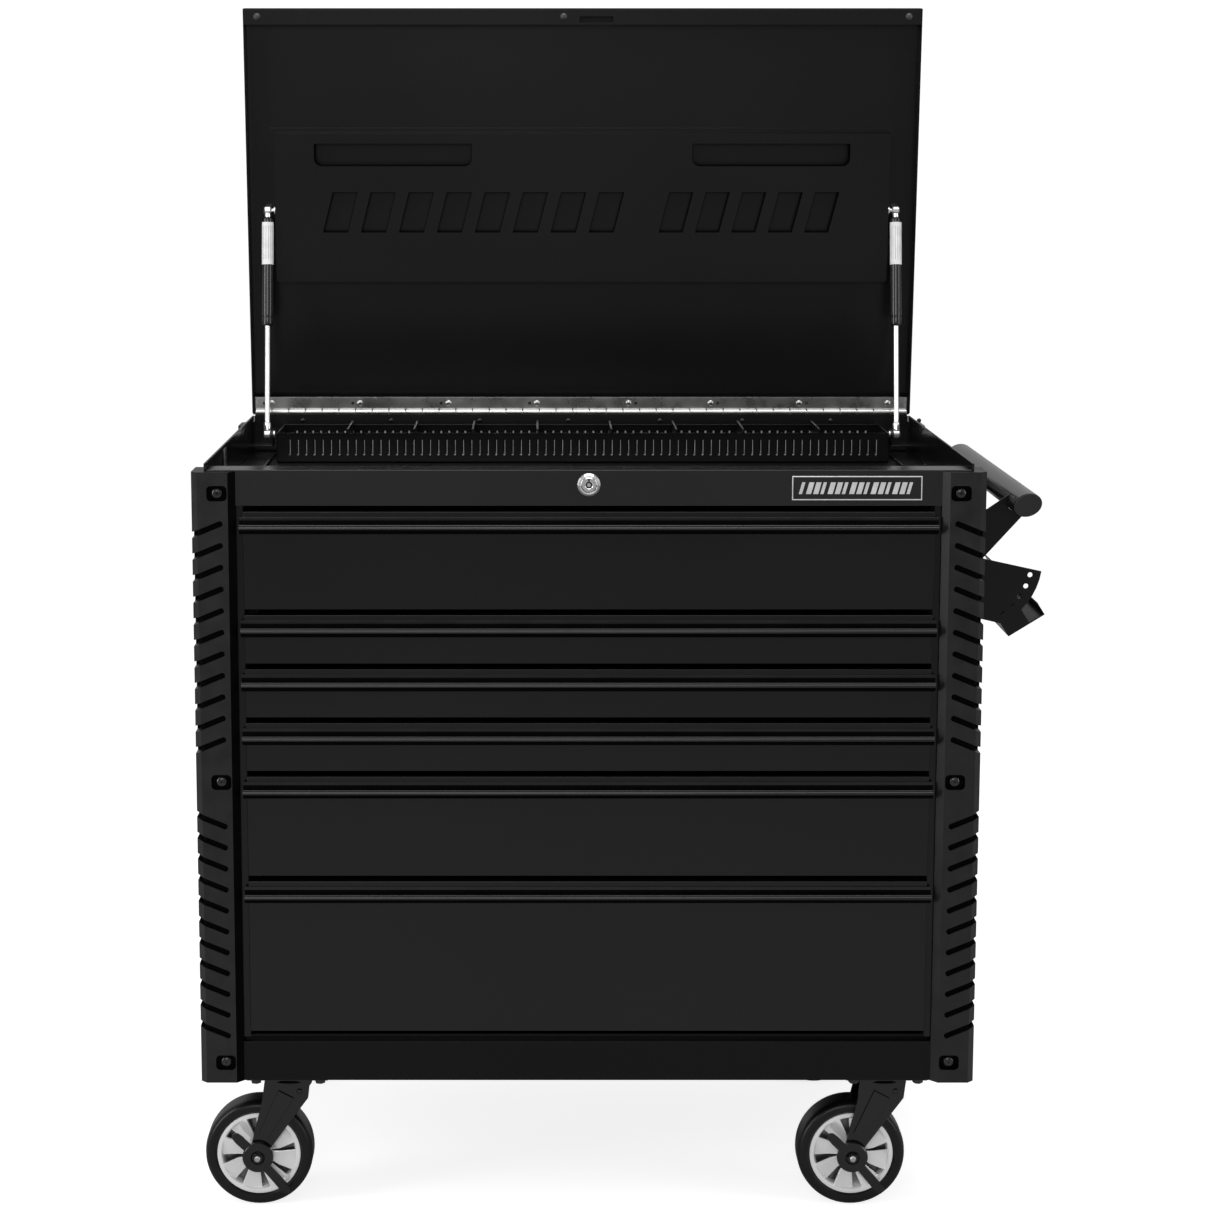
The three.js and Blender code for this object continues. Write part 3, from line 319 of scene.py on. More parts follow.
# ---------------------------------------------------------------- drawer pulls
# A full-width aluminium extrusion screwed to the top of each front, anodised gloss black. A finger
# channel lies behind a beaded, rounded lip, and the ends are cut square and eased.
black_anodise = coating("gloss black anodising", (0.004,) * 3, (0.006,) * 3, (0.16, 0.22), 80, 0.00002,
                        patches=20, shine=0.42, stretch=(2, 50, 50))
# A darker, duller black for the pull's underside and finger channel: painted shade.
pull_painted_shade = coating("pull underside painted shade", (0.0010,) * 3, (0.0018,) * 3, (0.5, 0.6), 80, 0.00002,
                      patches=20, shine=0.03, stretch=(2, 50, 50))


def curve(centre, radius, start, stop, steps):
    """Points on an arc, angles in degrees."""
    angles = [math.radians(start + (stop - start) * i / steps) for i in range(steps + 1)]
    return [(centre[0] + radius * math.cos(a), centre[1] + radius * math.sin(a)) for a in angles]


# Points are (depth in front of the drawer front, height from the pull's top), in millimetres.
pull_outline = (
    [(0, 0), (1.6, 0), (2.0, -0.6), (2.1, -4.0), (2.2, -13.2)]
    + curve((4.2, -13.2), 2.0, 180, 300, 5)
    + [(6.9, -13.0)]
    + curve((8.3, -10.9), 1.4, 200, 20, 8)
    + [(9.3, -12.0)]
    + curve((7.4, -14.8), 3.3, 60, -50, 8)
    + curve((9.0, -20.8), 3.2, 120, 170, 4)
    + [(2.6, -22.6), (1.6, -23), (0, -23)]
)
for number in range(1, 7):
    body = f"drawer_{number}"
    pull_low, pull_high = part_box(f"{body}_pull")
    bm = bmesh.new()
    drawn_out(
        bm,
        [(pull_low.x, pull_high.y - depth * 0.001, pull_high.z + z * 0.001) for depth, z in pull_outline],
        Vector((pull_high.x - pull_low.x, 0, 0)),
    )
    # Faces under the lip and down in the finger channel take the darker black: painted shade.
    for face in bm.faces:
        middle = face.calc_center_median()
        drop, out = pull_high.z - middle.z, pull_high.y - middle.y
        under_lip, in_channel = drop > 0.0158, drop > 0.0040 and out < 0.0066
        face.material_index = int(under_lip or in_channel)
    settle(f"{body}_pull_extrusion", bm, body, "pull", (black_anodise, pull_painted_shade), f"{body}_pull")

# ---------------------------------------------------------------- corner bumpers
# Four moulded black plastic corner guards with a chamfered edge and two runs of slanting grip
# slots, each held by three cross-head screws sunk in square pockets.
bumper_plastic = coating("textured bumper plastic", (0.005,) * 3, (0.008,) * 3, (0.32, 0.42), 900, 0.0003,
                         patches=40, shine=0.38)
# A darker, duller black laid on the insides of slots, pockets and pressings: painted shade.
recess_painted_shade = coating("painted recess shade", (0.0008,) * 3, (0.0016,) * 3, (0.6, 0.7), 900, 0.0002,
                        patches=40, shine=0.03)
screw_black = coating("black oxide screws", (0.004,) * 3, (0.008,) * 3, (0.16, 0.24), 500, 0.00004,
                      shine=0.6)


def turned(bm, profile, centre, axis, steps=32):
    """A closed profile of (radius, distance along the axis) points spun about an axis."""
    centre, axis = Vector(centre), Vector(axis).normalized()
    across = axis.orthogonal().normalized()
    points = [bm.verts.new(centre + across * r + axis * a) for r, a in profile]
    lines = [bm.edges.new(pair) for pair in zip(points, points[1:] + points[:1])
             if (pair[0].co - pair[1].co).length > 1e-7]
    bmesh.ops.spin(bm, geom=points + lines, cent=centre, axis=axis, angle=math.tau, steps=steps,
                   use_merge=True, use_duplicate=False)
    bmesh.ops.remove_doubles(bm, verts=bm.verts, dist=1e-6)


def cross_head(bm, centre, facing, radius):
    """A pan-head screw with a cross recess; it stands off a face along `facing`."""
    centre, facing = Vector(centre), Vector(facing).normalized()
    rise = radius * 0.55
    dome = ((0, 0.72), (0.16, 0.72), (0.2, 1), (0.45, 0.98), (0.75, 0.82), (0.93, 0.5), (1, 0.1), (1, 0),
            (0, 0))
    turned(bm, [(radius * r, rise * h) for r, h in dome], centre, facing, 20)
    across = facing.orthogonal().normalized()
    for spin in (0, 90):
        arm = Matrix.Rotation(math.radians(spin + 20), 3, facing) @ across
        wide = arm.cross(facing)
        tip = centre + facing * rise * 1.02
        low = [tip + arm * a * radius * 0.55 + wide * b * radius * 0.1
               for a, b in ((-1, -1), (1, -1), (1, 1), (-1, 1))]
        drawn_out(bm, low, -facing * rise * 0.3)


pocket_depth, pocket_inset, pocket_margin = 0.006, 0.0243, 0.029
slope_width, chamfer = 0.0102, 0.0085
for side, sign in (("left", -1), ("right", 1)):
    for end, way in (("front", -1), ("rear", 1)):
        node = f"{end}_{side}_bumper"
        guard_low, guard_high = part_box(node)
        inner_edge, outer_edge = (guard_high.x, guard_low.x) if sign < 0 else (guard_low.x, guard_high.x)
        face_y = guard_low.y if way < 0 else guard_high.y
        bm = copied(node)
        for shortest, longest, radius in ((0.0035, 0.0052, 0.0037), (0.0052, 0.0066, 0.0060)):
            ends = [e for e in bm.edges
                    if abs((e.verts[0].co - e.verts[1].co).normalized().y) > 0.995
                    and shortest < e.calc_length() < longest
                    and abs(sum(v.co.x for v in e.verts) / 2 - inner_edge) < 0.040]
            round_over(bm, ends, radius, 5)
        round_over(bm, folds_of(bm, 30), 0.0008)
        # Faces sunk in the slots and pockets, and the inner slope of the front left guard, take the recess
        # black: painted shade.
        for face in bm.faces:
            middle = face.calc_center_median()
            deep, aside = abs(middle.y - face_y), abs(middle.x - outer_edge)
            at_end = min(middle.z - guard_low.z, guard_high.z - middle.z) < 0.003
            below = min(deep, aside, (deep + aside - chamfer) / math.sqrt(2))
            on_slope = abs(middle.x - inner_edge) < slope_width
            sunk = 0.0012 < below < 0.0074 and abs(middle.x - inner_edge) > slope_width
            shaded = (side, end) == ("left", "front") and on_slope and face.normal.x > 0.3
            face.material_index = int((sunk or shaded) and not at_end)
        settle(f"{node}_moulding", bm, "case", "plastic", (bumper_plastic, recess_painted_shade), node,
               turn_out=False)
        bm = bmesh.new()
        screw_x, screw_y = inner_edge + sign * pocket_inset, face_y - way * pocket_depth
        for z in (guard_low.z + pocket_margin, (guard_low.z + guard_high.z) / 2,
                  guard_high.z - pocket_margin):
            cross_head(bm, (screw_x, screw_y, z), (0, way, 0), 0.0080)
        settle(f"{node}_screws", bm, "case", "plastic", screw_black)

# ---------------------------------------------------------------- lock
# A tubular key lock in the middle of the top rail: a chromed bezel pressed into the rail round a
# chromed cylinder with a ring keyway and a centre pin.
bright_chrome = coating("bright chrome", (0.80,) * 3, (0.90,) * 3, (0.05, 0.12), 200, 0.00002,
                        patches=30, metallic=0.8)
# A dull black laid as thin discs and bars in the keyway and the holes: painted shadow.
hole_shadow_paint = coating("keyway shadow", (0.004,) * 3, (0.01,) * 3, (0.5, 0.7), 400, 0.0001)
bezel_low, bezel_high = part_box("lock_bezel")
lock_centre = Vector(((bezel_low.x + bezel_high.x) / 2, bezel_high.y, (bezel_low.z + bezel_high.z) / 2))
bm = bmesh.new()
turned(bm, [(0.0107, 0), (0.0107, 0.0046), (0.0113, 0.0050), (0.0128, 0.0048), (0.0140, 0.0036),
            (0.0150, 0.0018), (0.0155, 0.0012), (0.0155, 0)], lock_centre, (0, -1, 0), 48)
settle("lock_bezel_ring", bm, "case", "chrome", bright_chrome, "lock_bezel")
bm = bmesh.new()
turned(bm, [(0, 0.0058), (0.0022, 0.0058), (0.0026, 0.0053), (0.0026, 0.0030), (0.0048, 0.0030),
            (0.0048, 0.0055), (0.0053, 0.0059), (0.0094, 0.0059), (0.0101, 0.0052), (0.0101, -0.0150),
            (0.0088, -0.0195), (0, -0.0195)], lock_centre, (0, -1, 0), 40)
cylinder_low, cylinder_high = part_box("lock_cylinder")
block(bm, (lock_centre.x - 0.007, cylinder_high.y - 0.0025, cylinder_low.z),
      (lock_centre.x + 0.007, cylinder_high.y, lock_centre.z + 0.004), 0.0008)
settle("lock_barrel", bm, "lock", "chrome", bright_chrome, "lock_cylinder")
# The keyway's ring and notch are thin black pieces: painted shadow.
bm = bmesh.new()
notch = [(-0.0012, 0.0052), (0.0012, 0.0052), (0.0012, 0.0090), (-0.0012, 0.0090)]
drawn_out(bm, [lock_centre + Vector((x, -0.00595, z)) for x, z in notch], Vector((0, 0.002, 0)))
turned(bm, [(0.0027, 0.0031), (0.0047, 0.0031), (0.0047, 0.0034), (0.0027, 0.0034)], lock_centre,
       (0, -1, 0), 32)
settle("lock_keyway", bm, "lock", "plastic", hole_shadow_paint)

# ---------------------------------------------------------------- badge
# A silver-framed plate riveted to the right of the rail, with a black field that carries only
# plain slanted strokes.
# Satin silver, but partly diffuse white: a painted reflection on the frame.
badge_silver_and_painted_sheen = coating("satin badge silver with painted sheen", (0.78,) * 3, (0.86,) * 3, (0.18, 0.3), 500, 0.00003,
                       patches=50, metallic=0.5)
badge_field = coating("badge field black", (0.004,) * 3, (0.007,) * 3, (0.25, 0.35), 500, 0.00005)
badge_low, badge_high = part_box("badge_plate")
bm = bmesh.new()
block(bm, badge_low, badge_high, 0.0006)
front = max((f for f in bm.faces if f.normal.y < -0.9), key=lambda f: f.calc_area())
bmesh.ops.inset_region(bm, faces=[front], thickness=0.0012, depth=0)
bmesh.ops.inset_region(bm, faces=[front], thickness=0.0002, depth=-0.0005)
front.material_index = 1
bar_low, bar_high = badge_low.z + 0.0085, badge_high.z - 0.0085
badge_middle = (badge_low.x + badge_high.x) / 2
lean, stroke_count, stroke_pitch, wide_stroke, thin_stroke = 0.0045, 16, 0.0097, 0.0069, 0.0044
for stroke in range(stroke_count):
    start = badge_middle - 0.079 + stroke * stroke_pitch
    stop = start + (wide_stroke if stroke % 3 else thin_stroke)
    outline = [(start, bar_low), (stop, bar_low), (stop + lean, bar_high), (start + lean, bar_high)]
    drawn_out(bm, [(x, badge_low.y + 0.0005, z) for x, z in outline], Vector((0, -0.0004, 0)))
settle("badge", bm, "case", "badge", (badge_silver_and_painted_sheen, badge_field), "badge_plate")

# ---------------------------------------------------------------- lid
# A shallow folded steel tray that stands open on the rear hinge. A return runs along its front
# edge with a slot for the latch hook and three small domed rubber buffers.


def hinge_of(name):
    """The place of a joint, from the record."""
    return next(Vector(j["pos_m"]) for j in frame["joints"] if j["name"] == name)


hinge_line = hinge_of("lid_hinge")
hinge_line.x = middle_x
open_angle = 85
lid_open = Matrix.Translation(hinge_line) @ Matrix.Rotation(math.radians(-open_angle), 4, "X")
lid_length = (hinge_line.y - frame_y) + 0.0083
dress("lid_skin", "lid_shell", 0.0004, "lid", "paint", powder_coat)
buffer_rubber = coating("black rubber buffers", (0.02,) * 3, (0.035,) * 3, (0.35, 0.5), 600, 0.0001)
bm = bmesh.new()
dome = [(0, 0.003), (0.002, 0.0029), (0.004, 0.0022), (0.0054, 0.0008), (0.0056, 0), (0, 0)]
for x in (-0.499, -0.029, 0.500):
    turned(bm, dome, (x, -lid_length + 0.012, 0), (0, 0, -1), 24)
bmesh.ops.transform(bm, matrix=lid_open, verts=bm.verts)
settle("lid_buffers", bm, "lid", "plastic", buffer_rubber)

# The inner panel is a pressed pan welded inside the lid, with a flange all round, two round-ended
# hand slots and rows of slanted pressings that stiffen it.


def pierced(bm, outline, holes, thickness, put):
    """A flat sheet in the x-y plane with holes through it; `thickness` goes along +z."""
    loops = []
    for loop in (outline, *holes):
        ring = [bm.verts.new((x, y, 0)) for x, y in loop]
        loops.append([bm.edges.new(pair) for pair in zip(ring, ring[1:] + ring[:1])])
    rims = [e for loop in loops for e in loop]
    filled = bmesh.ops.triangle_fill(bm, use_beauty=True, use_dissolve=False, edges=rims, normal=(0, 0, 1))
    sheet = [f for f in filled["geom"] if isinstance(f, bmesh.types.BMFace)]
    pushed = bmesh.ops.extrude_face_region(bm, geom=sheet)["geom"]
    far = [v for v in pushed if isinstance(v, bmesh.types.BMVert)]
    bmesh.ops.translate(bm, vec=(0, 0, thickness), verts=far)
    whole = list({v for loop in loops for e in loop for v in e.verts} | set(far))
    bmesh.ops.transform(bm, matrix=put, verts=whole)


def rounded(x0, x1, y0, y1, low_radius, high_radius, steps=6):
    """A rectangle's outline with one radius on its lower corners and one on its upper ones."""
    points = []
    for cx, cy, r, a in ((x1 - high_radius, y1 - high_radius, high_radius, 0),
                         (x0 + high_radius, y1 - high_radius, high_radius, 90),
                         (x0 + low_radius, y0 + low_radius, low_radius, 180),
                         (x1 - low_radius, y0 + low_radius, low_radius, 270)):
        points += curve((cx, cy), max(r, 0.0002), a, a + 90, steps)
    return points


panel_half, panel_from, panel_to = 0.478, 0.207, 0.437
panel_face, lid_inside, panel_sheet = 0.006, 0.0262, 0.0015
flange_width, flange_sheet, rear_flange = 0.008, 0.0014, 0.006
hand_slot_depth, pressing_depth = 0.0190, 0.0140
pressing_low, pressing_high, pressing_lean = 0.284, 0.347, 0.016
bm = bmesh.new()
hand_slots = [
    [(sign * x, y) for x, y in rounded(0.171, 0.416, panel_to - 0.050, panel_to - 0.015, 0.012, 0.002)]
    for sign in (-1, 1)
]
pressings = []
for start, stop, count in ((-0.404, 0.070, 8), (0.120, 0.404, 5)):
    pitch = (stop - start) / count
    for i in range(count):
        left = start + i * pitch
        right = left + pitch * 0.66
        pressings.append([(left, pressing_low), (right, pressing_low),
                          (right + pressing_lean, pressing_high), (left + pressing_lean, pressing_high)])
flat = Matrix.Translation((0, 0, panel_face)) @ Matrix.Scale(-1, 4, (0, 1, 0))
pierced(bm, rounded(-panel_half, panel_half, panel_from, panel_to, 0.003, 0.003), hand_slots + pressings,
        panel_sheet, flat)
for outline in pressings:
    drawn_out(bm, [(x, -y, panel_face + 0.0142) for x, y in outline], Vector((0, 0, 0.0012)))
wall_foot = panel_face + 0.0012
for x0, x1, y0, y1 in ((-panel_half, panel_half, -panel_to, -panel_to + panel_sheet),
                       (-panel_half, panel_half, -panel_from - panel_sheet, -panel_from),
                       (-panel_half, -panel_half + panel_sheet, -panel_to, -panel_from),
                       (panel_half - panel_sheet, panel_half, -panel_to, -panel_from)):
    block(bm, (x0, y0, wall_foot), (x1, y1, lid_inside))
flange_half = panel_half + flange_width
for x0, x1, y0, y1 in ((-flange_half, flange_half, -panel_to - flange_width, -panel_to),
                       (-flange_half, flange_half, -panel_from, -panel_from + rear_flange),
                       (-flange_half, -panel_half, -panel_to, -panel_from),
                       (panel_half, flange_half, -panel_to, -panel_from)):
    block(bm, (x0, y0, lid_inside - flange_sheet), (x1, y1, lid_inside), 0.0004)
plain = set(bm.faces)
recesses = [(o, hand_slot_depth) for o in hand_slots] + [(o, pressing_depth) for o in pressings]
for outline, reach in recesses:
    ring = [bm.verts.new((x, -y, panel_face + 0.0003)) for x, y in outline]
    lines = [bm.edges.new(pair) for pair in zip(ring, ring[1:] + ring[:1])]
    lip = bmesh.ops.extrude_edge_only(bm, edges=lines)["geom"]
    deep = [v for v in lip if isinstance(v, bmesh.types.BMVert)]
    bmesh.ops.translate(bm, vec=(0, 0, reach), verts=deep)
    band = [f for f in lip if isinstance(f, bmesh.types.BMFace)]
    bmesh.ops.recalc_face_normals(bm, faces=band)
    bmesh.ops.solidify(bm, geom=band, thickness=0.0008)
# The walls of the hand slots and pressings take the recess black: painted shade.
for face in bm.faces:
    face.material_index = int(face not in plain)
bmesh.ops.transform(bm, matrix=lid_open, verts=bm.verts)
settle("lid_panel", bm, "lid", "paint", (powder_coat, recess_painted_shade), "lid_inner_panel")

# ---------------------------------------------------------------- piano hinge
# A zinc-plated continuous hinge along the back edge, its knuckles rolled round one long pin and
# its upper leaf held to the lid by pan-head screws.
leaf_zinc = coating("hinge zinc", (0.50, 0.50, 0.49), (0.62, 0.62, 0.61), (0.24, 0.34), 60, 0.00004,
                    patches=30, metallic=1.0, stretch=(3, 60, 60))
leaf_half, leaf_front, leaf_screw_line = 0.5155, 0.0037, -0.0135
bm = bmesh.new()
block(bm, (-leaf_half, -0.0232, leaf_front), (leaf_half, -0.0040, 0.0050), 0.0003)
screw_places = (-0.490, -0.350, -0.210, -0.070, 0.075, 0.205, 0.345, 0.485)
for x in screw_places:
    cross_head(bm, (x, leaf_screw_line, leaf_front), (0, 0, -1), 0.0050)
bmesh.ops.transform(bm, matrix=lid_open, verts=bm.verts)
settle("hinge_upper_leaf", bm, "lid", "zinc", leaf_zinc, "hinge_lid_leaf")
# Dark discs beside the screws stand for open screw holes: painted shadow.
bm = bmesh.new()
for x in screw_places:
    turned(bm, [(0, -0.0001), (0.0026, -0.0001), (0.0026, 0.0006), (0, 0.0006)],
           (x + math.copysign(0.0115, x), leaf_screw_line, leaf_front), (0, 0, 1), 16)
bmesh.ops.transform(bm, matrix=lid_open, verts=bm.verts)
settle("hinge_hole_shadows", bm, "lid", "plastic", hole_shadow_paint)
leaf_low, leaf_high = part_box("hinge_case_leaf")
bm = bmesh.new()
block(bm, leaf_low, (leaf_high.x, leaf_low.y + 0.0013, hinge_line.z - 0.0030), 0.0003)
settle("hinge_lower_leaf", bm, "case", "paint", powder_coat, "hinge_case_leaf")
bm = bmesh.new()
for x in screw_places:
    cross_head(bm, (x, leaf_low.y, leaf_low.z + 0.0060), (0, -1, 0), 0.0036)
settle("hinge_lower_rivets", bm, "case", "plastic", screw_black)
beads = 39
pitch = 2 * leaf_half / beads
roll = [(0.0022, 0.0007), (0.0042, 0.0007), (0.0047, 0.0012), (0.0047, pitch - 0.0012),
        (0.0042, pitch - 0.0007), (0.0022, pitch - 0.0007)]
for first, body in ((0, "lid"), (1, "case")):
    bm = bmesh.new()
    for i in range(first, beads, 2):
        turned(bm, roll, hinge_line + Vector((-leaf_half + i * pitch, 0, 0)), (1, 0, 0), 16)
    settle(f"hinge_{body}_knuckles", bm, body, "zinc", leaf_zinc)
bm = bmesh.new()
turned(bm, [(0, 0.0006), (0.0023, 0.0006), (0.0023, 1.0304), (0, 1.0304)],
       hinge_line - Vector((leaf_half, 0, 0)), (1, 0, 0), 12)
settle("hinge_pin", bm, "case", "zinc", leaf_zinc)

# ---------------------------------------------------------------- gas struts
# Two gas springs hold the lid. Each has a bright rod, a black cylinder with a paper data band left
# blank, and a ball socket at each end that snaps over a stud.
strut_black = coating("gloss black strut", (0.006,) * 3, (0.010,) * 3, (0.14, 0.22), 500, 0.00004)
paper_band = coating("white strut band", (0.72,) * 3, (0.82,) * 3, (0.4, 0.5), 300, 0.00004, patches=90)
print_grey = coating("grey strut print", (0.34,) * 3, (0.44,) * 3, (0.4, 0.5), 300, 0.00004, patches=90)
strut_length = 0.34952
tube_low, tube_top = 0.1685, 0.3385
band_low, band_top = tube_top - 0.074, tube_top - 0.008
print_low, print_top = tube_top - 0.066, tube_top - 0.014
socket = [(0, -0.0055), (0.0048, -0.0055), (0.0064, -0.0038), (0.0064, 0.0038), (0.0048, 0.0055), (0, 0.0055)]
ball = [(0, -0.0050), (0.0030, -0.0048), (0.0044, -0.003), (0.0044, -0.0015), (0.003, 0.0), (0.003, 0.003),
        (0.0058, 0.003), (0.0058, 0.0048), (0, 0.0048)]
for side, sign in (("left", -1), ("right", 1)):
    foot = hinge_of(f"strut_{side}_swing")
    travel = next(j for j in frame["joints"] if j["name"] == f"strut_{side}_travel")
    along = Vector(travel["axis"]).normalized()
    bm = bmesh.new()
    turned(bm, [(0, 0.004), (0.004, 0.004), (0.004, tube_low + 0.003), (0, tube_low + 0.003)], foot,
           along, 24)
    turned(bm, [(0, 0.0045), (0.0052, 0.0045), (0.0055, 0.006), (0.0055, 0.016), (0.0046, 0.0185),
                (0, 0.0185)], foot, along, 20)
    turned(bm, socket, foot, (1, 0, 0), 24)
    settle(f"{side}_strut_rod_and_socket", bm, f"{side}_strut_rod", "chrome", bright_chrome,
           f"{side}_strut_rod")
    bm = bmesh.new()
    turned(bm, [(0, tube_low + 0.0005), (0.0058, tube_low + 0.0005), (0.0078, tube_low + 0.0018),
                (0.0086, tube_low + 0.004), (0.0088, tube_low + 0.012), (0.0083, tube_low + 0.0135),
                (0.0083, tube_low + 0.0150), (0.009, tube_low + 0.017), (0.009, tube_top - 0.004),
                (0.0084, tube_top - 0.0015), (0.0065, tube_top), (0, tube_top)], foot, along, 32)
    settle(f"{side}_strut_tube", bm, f"{side}_strut_cylinder", "gloss", strut_black,
           f"{side}_strut_cylinder")
    bm = bmesh.new()
    turned(bm, [(0.0089, band_low), (0.00915, band_low), (0.00915, band_top), (0.0089, band_top)],
           foot, along, 32)
    settle(f"{side}_strut_band", bm, f"{side}_strut_cylinder", "gloss", paper_band)
    bm = bmesh.new()
    for angle in (-58, -36, -12, 12, 36, 58):
        outward = Matrix.Rotation(math.radians(angle), 3, along) @ Vector((0, -1, 0))
        outward = (outward - along * outward.dot(along)).normalized()
        wide = outward.cross(along) * 0.0004
        base = foot + outward * 0.0090
        ends = [base + along * print_low - wide, base + along * print_top - wide,
                base + along * print_top + wide, base + along * print_low + wide]
        drawn_out(bm, ends, outward * 0.00022)
    settle(f"{side}_strut_print", bm, f"{side}_strut_cylinder", "gloss", print_grey)
    bm = bmesh.new()
    head = foot + along * strut_length
    turned(bm, [(0, strut_length - 0.0185), (0.0042, strut_length - 0.0185), (0.0048, strut_length - 0.016),
                (0.0048, strut_length - 0.005), (0, strut_length - 0.005)], foot, along, 20)
    turned(bm, socket, head, (1, 0, 0), 24)
    settle(f"{side}_strut_head_socket", bm, f"{side}_strut_cylinder", "chrome", bright_chrome)
    inward = Vector((-sign, 0, 0))
    for body, eye in (("lid", head), ("case", foot)):
        bm = bmesh.new()
        turned(bm, ball, eye + inward * 0.0070, inward, 20)
        settle(f"{side}_{body}_stud", bm, body, "chrome", bright_chrome)

# ---------------------------------------------------------------- divider tray
# A shallow steel tray lies across the back of the top compartment and slides forward on its
# floor. Its long walls are slotted all along so that the loose dividers can be moved.
tray_low, tray_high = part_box("divider_tray")
divider_rise, tray_sheet, wall_hem = 0.006, 0.0015, 0.0035
wall_top = tray_high.z - divider_rise
wall_height = wall_top - tray_low.z
bm = bmesh.new()
slot_pitch = 0.0126
slot_count = int((tray_high.x - tray_low.x - 0.02) / slot_pitch)
first_slot = (tray_low.x + tray_high.x) / 2 - slot_pitch * (slot_count - 1) / 2
slots = [
    [(x - 0.0014, 0.012), (x + 0.0014, 0.012), (x + 0.0014, 0.035), (x - 0.0014, 0.035)]
    for x in (first_slot + i * slot_pitch for i in range(slot_count))
]
wall_outline = [(tray_low.x, 0), (tray_high.x, 0), (tray_high.x, wall_height), (tray_low.x, wall_height)]
upright = Matrix.Rotation(math.radians(90), 4, "X")
for y in (tray_low.y + tray_sheet, tray_high.y):
    pierced(bm, wall_outline, slots, tray_sheet, Matrix.Translation((0, y, tray_low.z)) @ upright)
block(bm, tray_low, (tray_high.x, tray_high.y, tray_low.z + tray_sheet))
for x in (tray_low.x, tray_high.x - tray_sheet):
    block(bm, (x, tray_low.y, tray_low.z), (x + tray_sheet, tray_high.y, wall_top), 0.0004)
for y in (tray_low.y, tray_high.y - wall_hem):
    block(bm, (tray_low.x, y, wall_top - 0.002), (tray_high.x, y + wall_hem, wall_top), 0.0006)
tray_middle, tray_half = (tray_low.x + tray_high.x) / 2, (tray_high.x - tray_low.x) / 2
divider_shares = (-0.769, -0.552, -0.36, -0.148, 0.094, 0.306, 0.525, 0.773)  # of the tray's half width
for share in divider_shares:
    x = tray_middle + share * tray_half
    block(bm, (x - 0.0006, tray_low.y + 0.001, tray_low.z + 0.001),
          (x + 0.0006, tray_high.y - 0.001, tray_high.z - 0.001), 0.0003)
    block(bm, (x - 0.0016, tray_low.y + 0.002, tray_high.z - 0.003),
          (x + 0.0016, tray_high.y - 0.002, tray_high.z), 0.0008)
settle("slotted_tray", bm, "tray", "paint", well_shade_coat, "divider_tray")
# Light grey strips along the slot edges of both walls: painted highlights.
slot_edge_highlight = coating("painted slot edge highlights", (0.22,) * 3, (0.34,) * 3, (0.35, 0.5), 300, 0.00004, patches=60)
bm = bmesh.new()
for i in range(slot_count):
    x, z = first_slot + i * slot_pitch, tray_low.z
    block(bm, (x + 0.0004, tray_low.y - 0.0002, z + 0.0125), (x + 0.0012, tray_low.y + 0.0010, z + 0.0345))
    block(bm, (x - 0.0013, tray_low.y - 0.0002, z + 0.0112), (x + 0.0013, tray_low.y + 0.0010, z + 0.0126))
    block(bm, (x - 0.0012, tray_high.y - 0.0019, z + 0.0240), (x + 0.0012, tray_high.y - 0.0014, z + 0.0345))
settle("tray_slot_edges", bm, "tray", "zinc", slot_edge_highlight)

# Inside the compartment a low folded strip runs back along each side of the floor, and a small
# plate with two oval holes hangs on the left wall.
bm = bmesh.new()
for x in (rail_low.x + 0.0410, rail_high.x - 0.0410):
    block(bm, (x - 0.0009, rail_high.y + 0.002, tray_low.z + 0.0034),
          (x + 0.0009, tray_low.y - 0.004, tray_low.z + 0.0075), 0.0004)
settle("floor_strips", bm, "case", "paint", powder_coat)
bm = bmesh.new()
block(bm, (rail_low.x - 0.0004, -0.1120, 1.0330), (rail_low.x + 0.0008, -0.0860, 1.0610), 0.0003)
settle("wall_plate", bm, "case", "zinc", zinc_plate)
# The plate's two holes are dark discs on its face: painted shadow.
bm = bmesh.new()
for z in (1.0405, 1.0535):
    turned(bm, [(0, 0.0008), (0.0034, 0.0008), (0.0034, 0.0011), (0, 0.0011)], (rail_low.x, -0.0990, z),
           (1, 0, 0), 20)
settle("wall_plate_hole_shadows", bm, "case", "plastic", hole_shadow_paint)

# ---------------------------------------------------------------- push handle
# An oval steel tube in gloss black along the right side, with satin caps pressed into its ends,
# on two pressed brackets bolted to the side panel.
handle_gloss = coating("gloss black handle", (0.003,) * 3, (0.005,) * 3, (0.12, 0.18), 300, 0.00003,
                       shine=0.5)
cap_satin = coating("satin grey caps", (0.012,) * 3, (0.018,) * 3, (0.3, 0.4), 500, 0.00008, shine=0.4)
tube_box_low, tube_box_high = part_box("handle_tube")
tube_x, tube_z = (tube_box_low.x + tube_box_high.x) / 2, (tube_box_low.z + tube_box_high.z) / 2


def oval(major, minor, y, steps=48):
    """An oval section tilted twenty degrees outwards."""
    tilt = Matrix.Rotation(math.radians(-20), 4, "Y")
    turns = [i * math.tau / steps for i in range(steps)]
    points = [Vector((major / 2 * math.cos(a), 0, minor / 2 * math.sin(a))) for a in turns]
    return [Vector((tube_x, y, tube_z)) + tilt @ p for p in points]


bm = bmesh.new()
drawn_out(bm, oval(0.040, 0.031, tube_box_low.y + 0.003),
          Vector((0, tube_box_high.y - tube_box_low.y - 0.006, 0)))
settle("handle_grip", bm, "case", "gloss", handle_gloss, "handle_tube")
bm = bmesh.new()
for y, reach in ((tube_box_low.y + 0.0035, -0.0035), (tube_box_high.y - 0.0035, 0.0035)):
    drawn_out(bm, oval(0.0392, 0.0302, y), Vector((0, reach, 0)), radius=0.0012)
settle("handle_caps", bm, "case", "gloss", cap_satin)
for end in ("front", "rear"):
    node = f"handle_bracket_{end}"
    dress(f"{node}_pressing", node, 0.0007, "case", "paint", powder_coat)

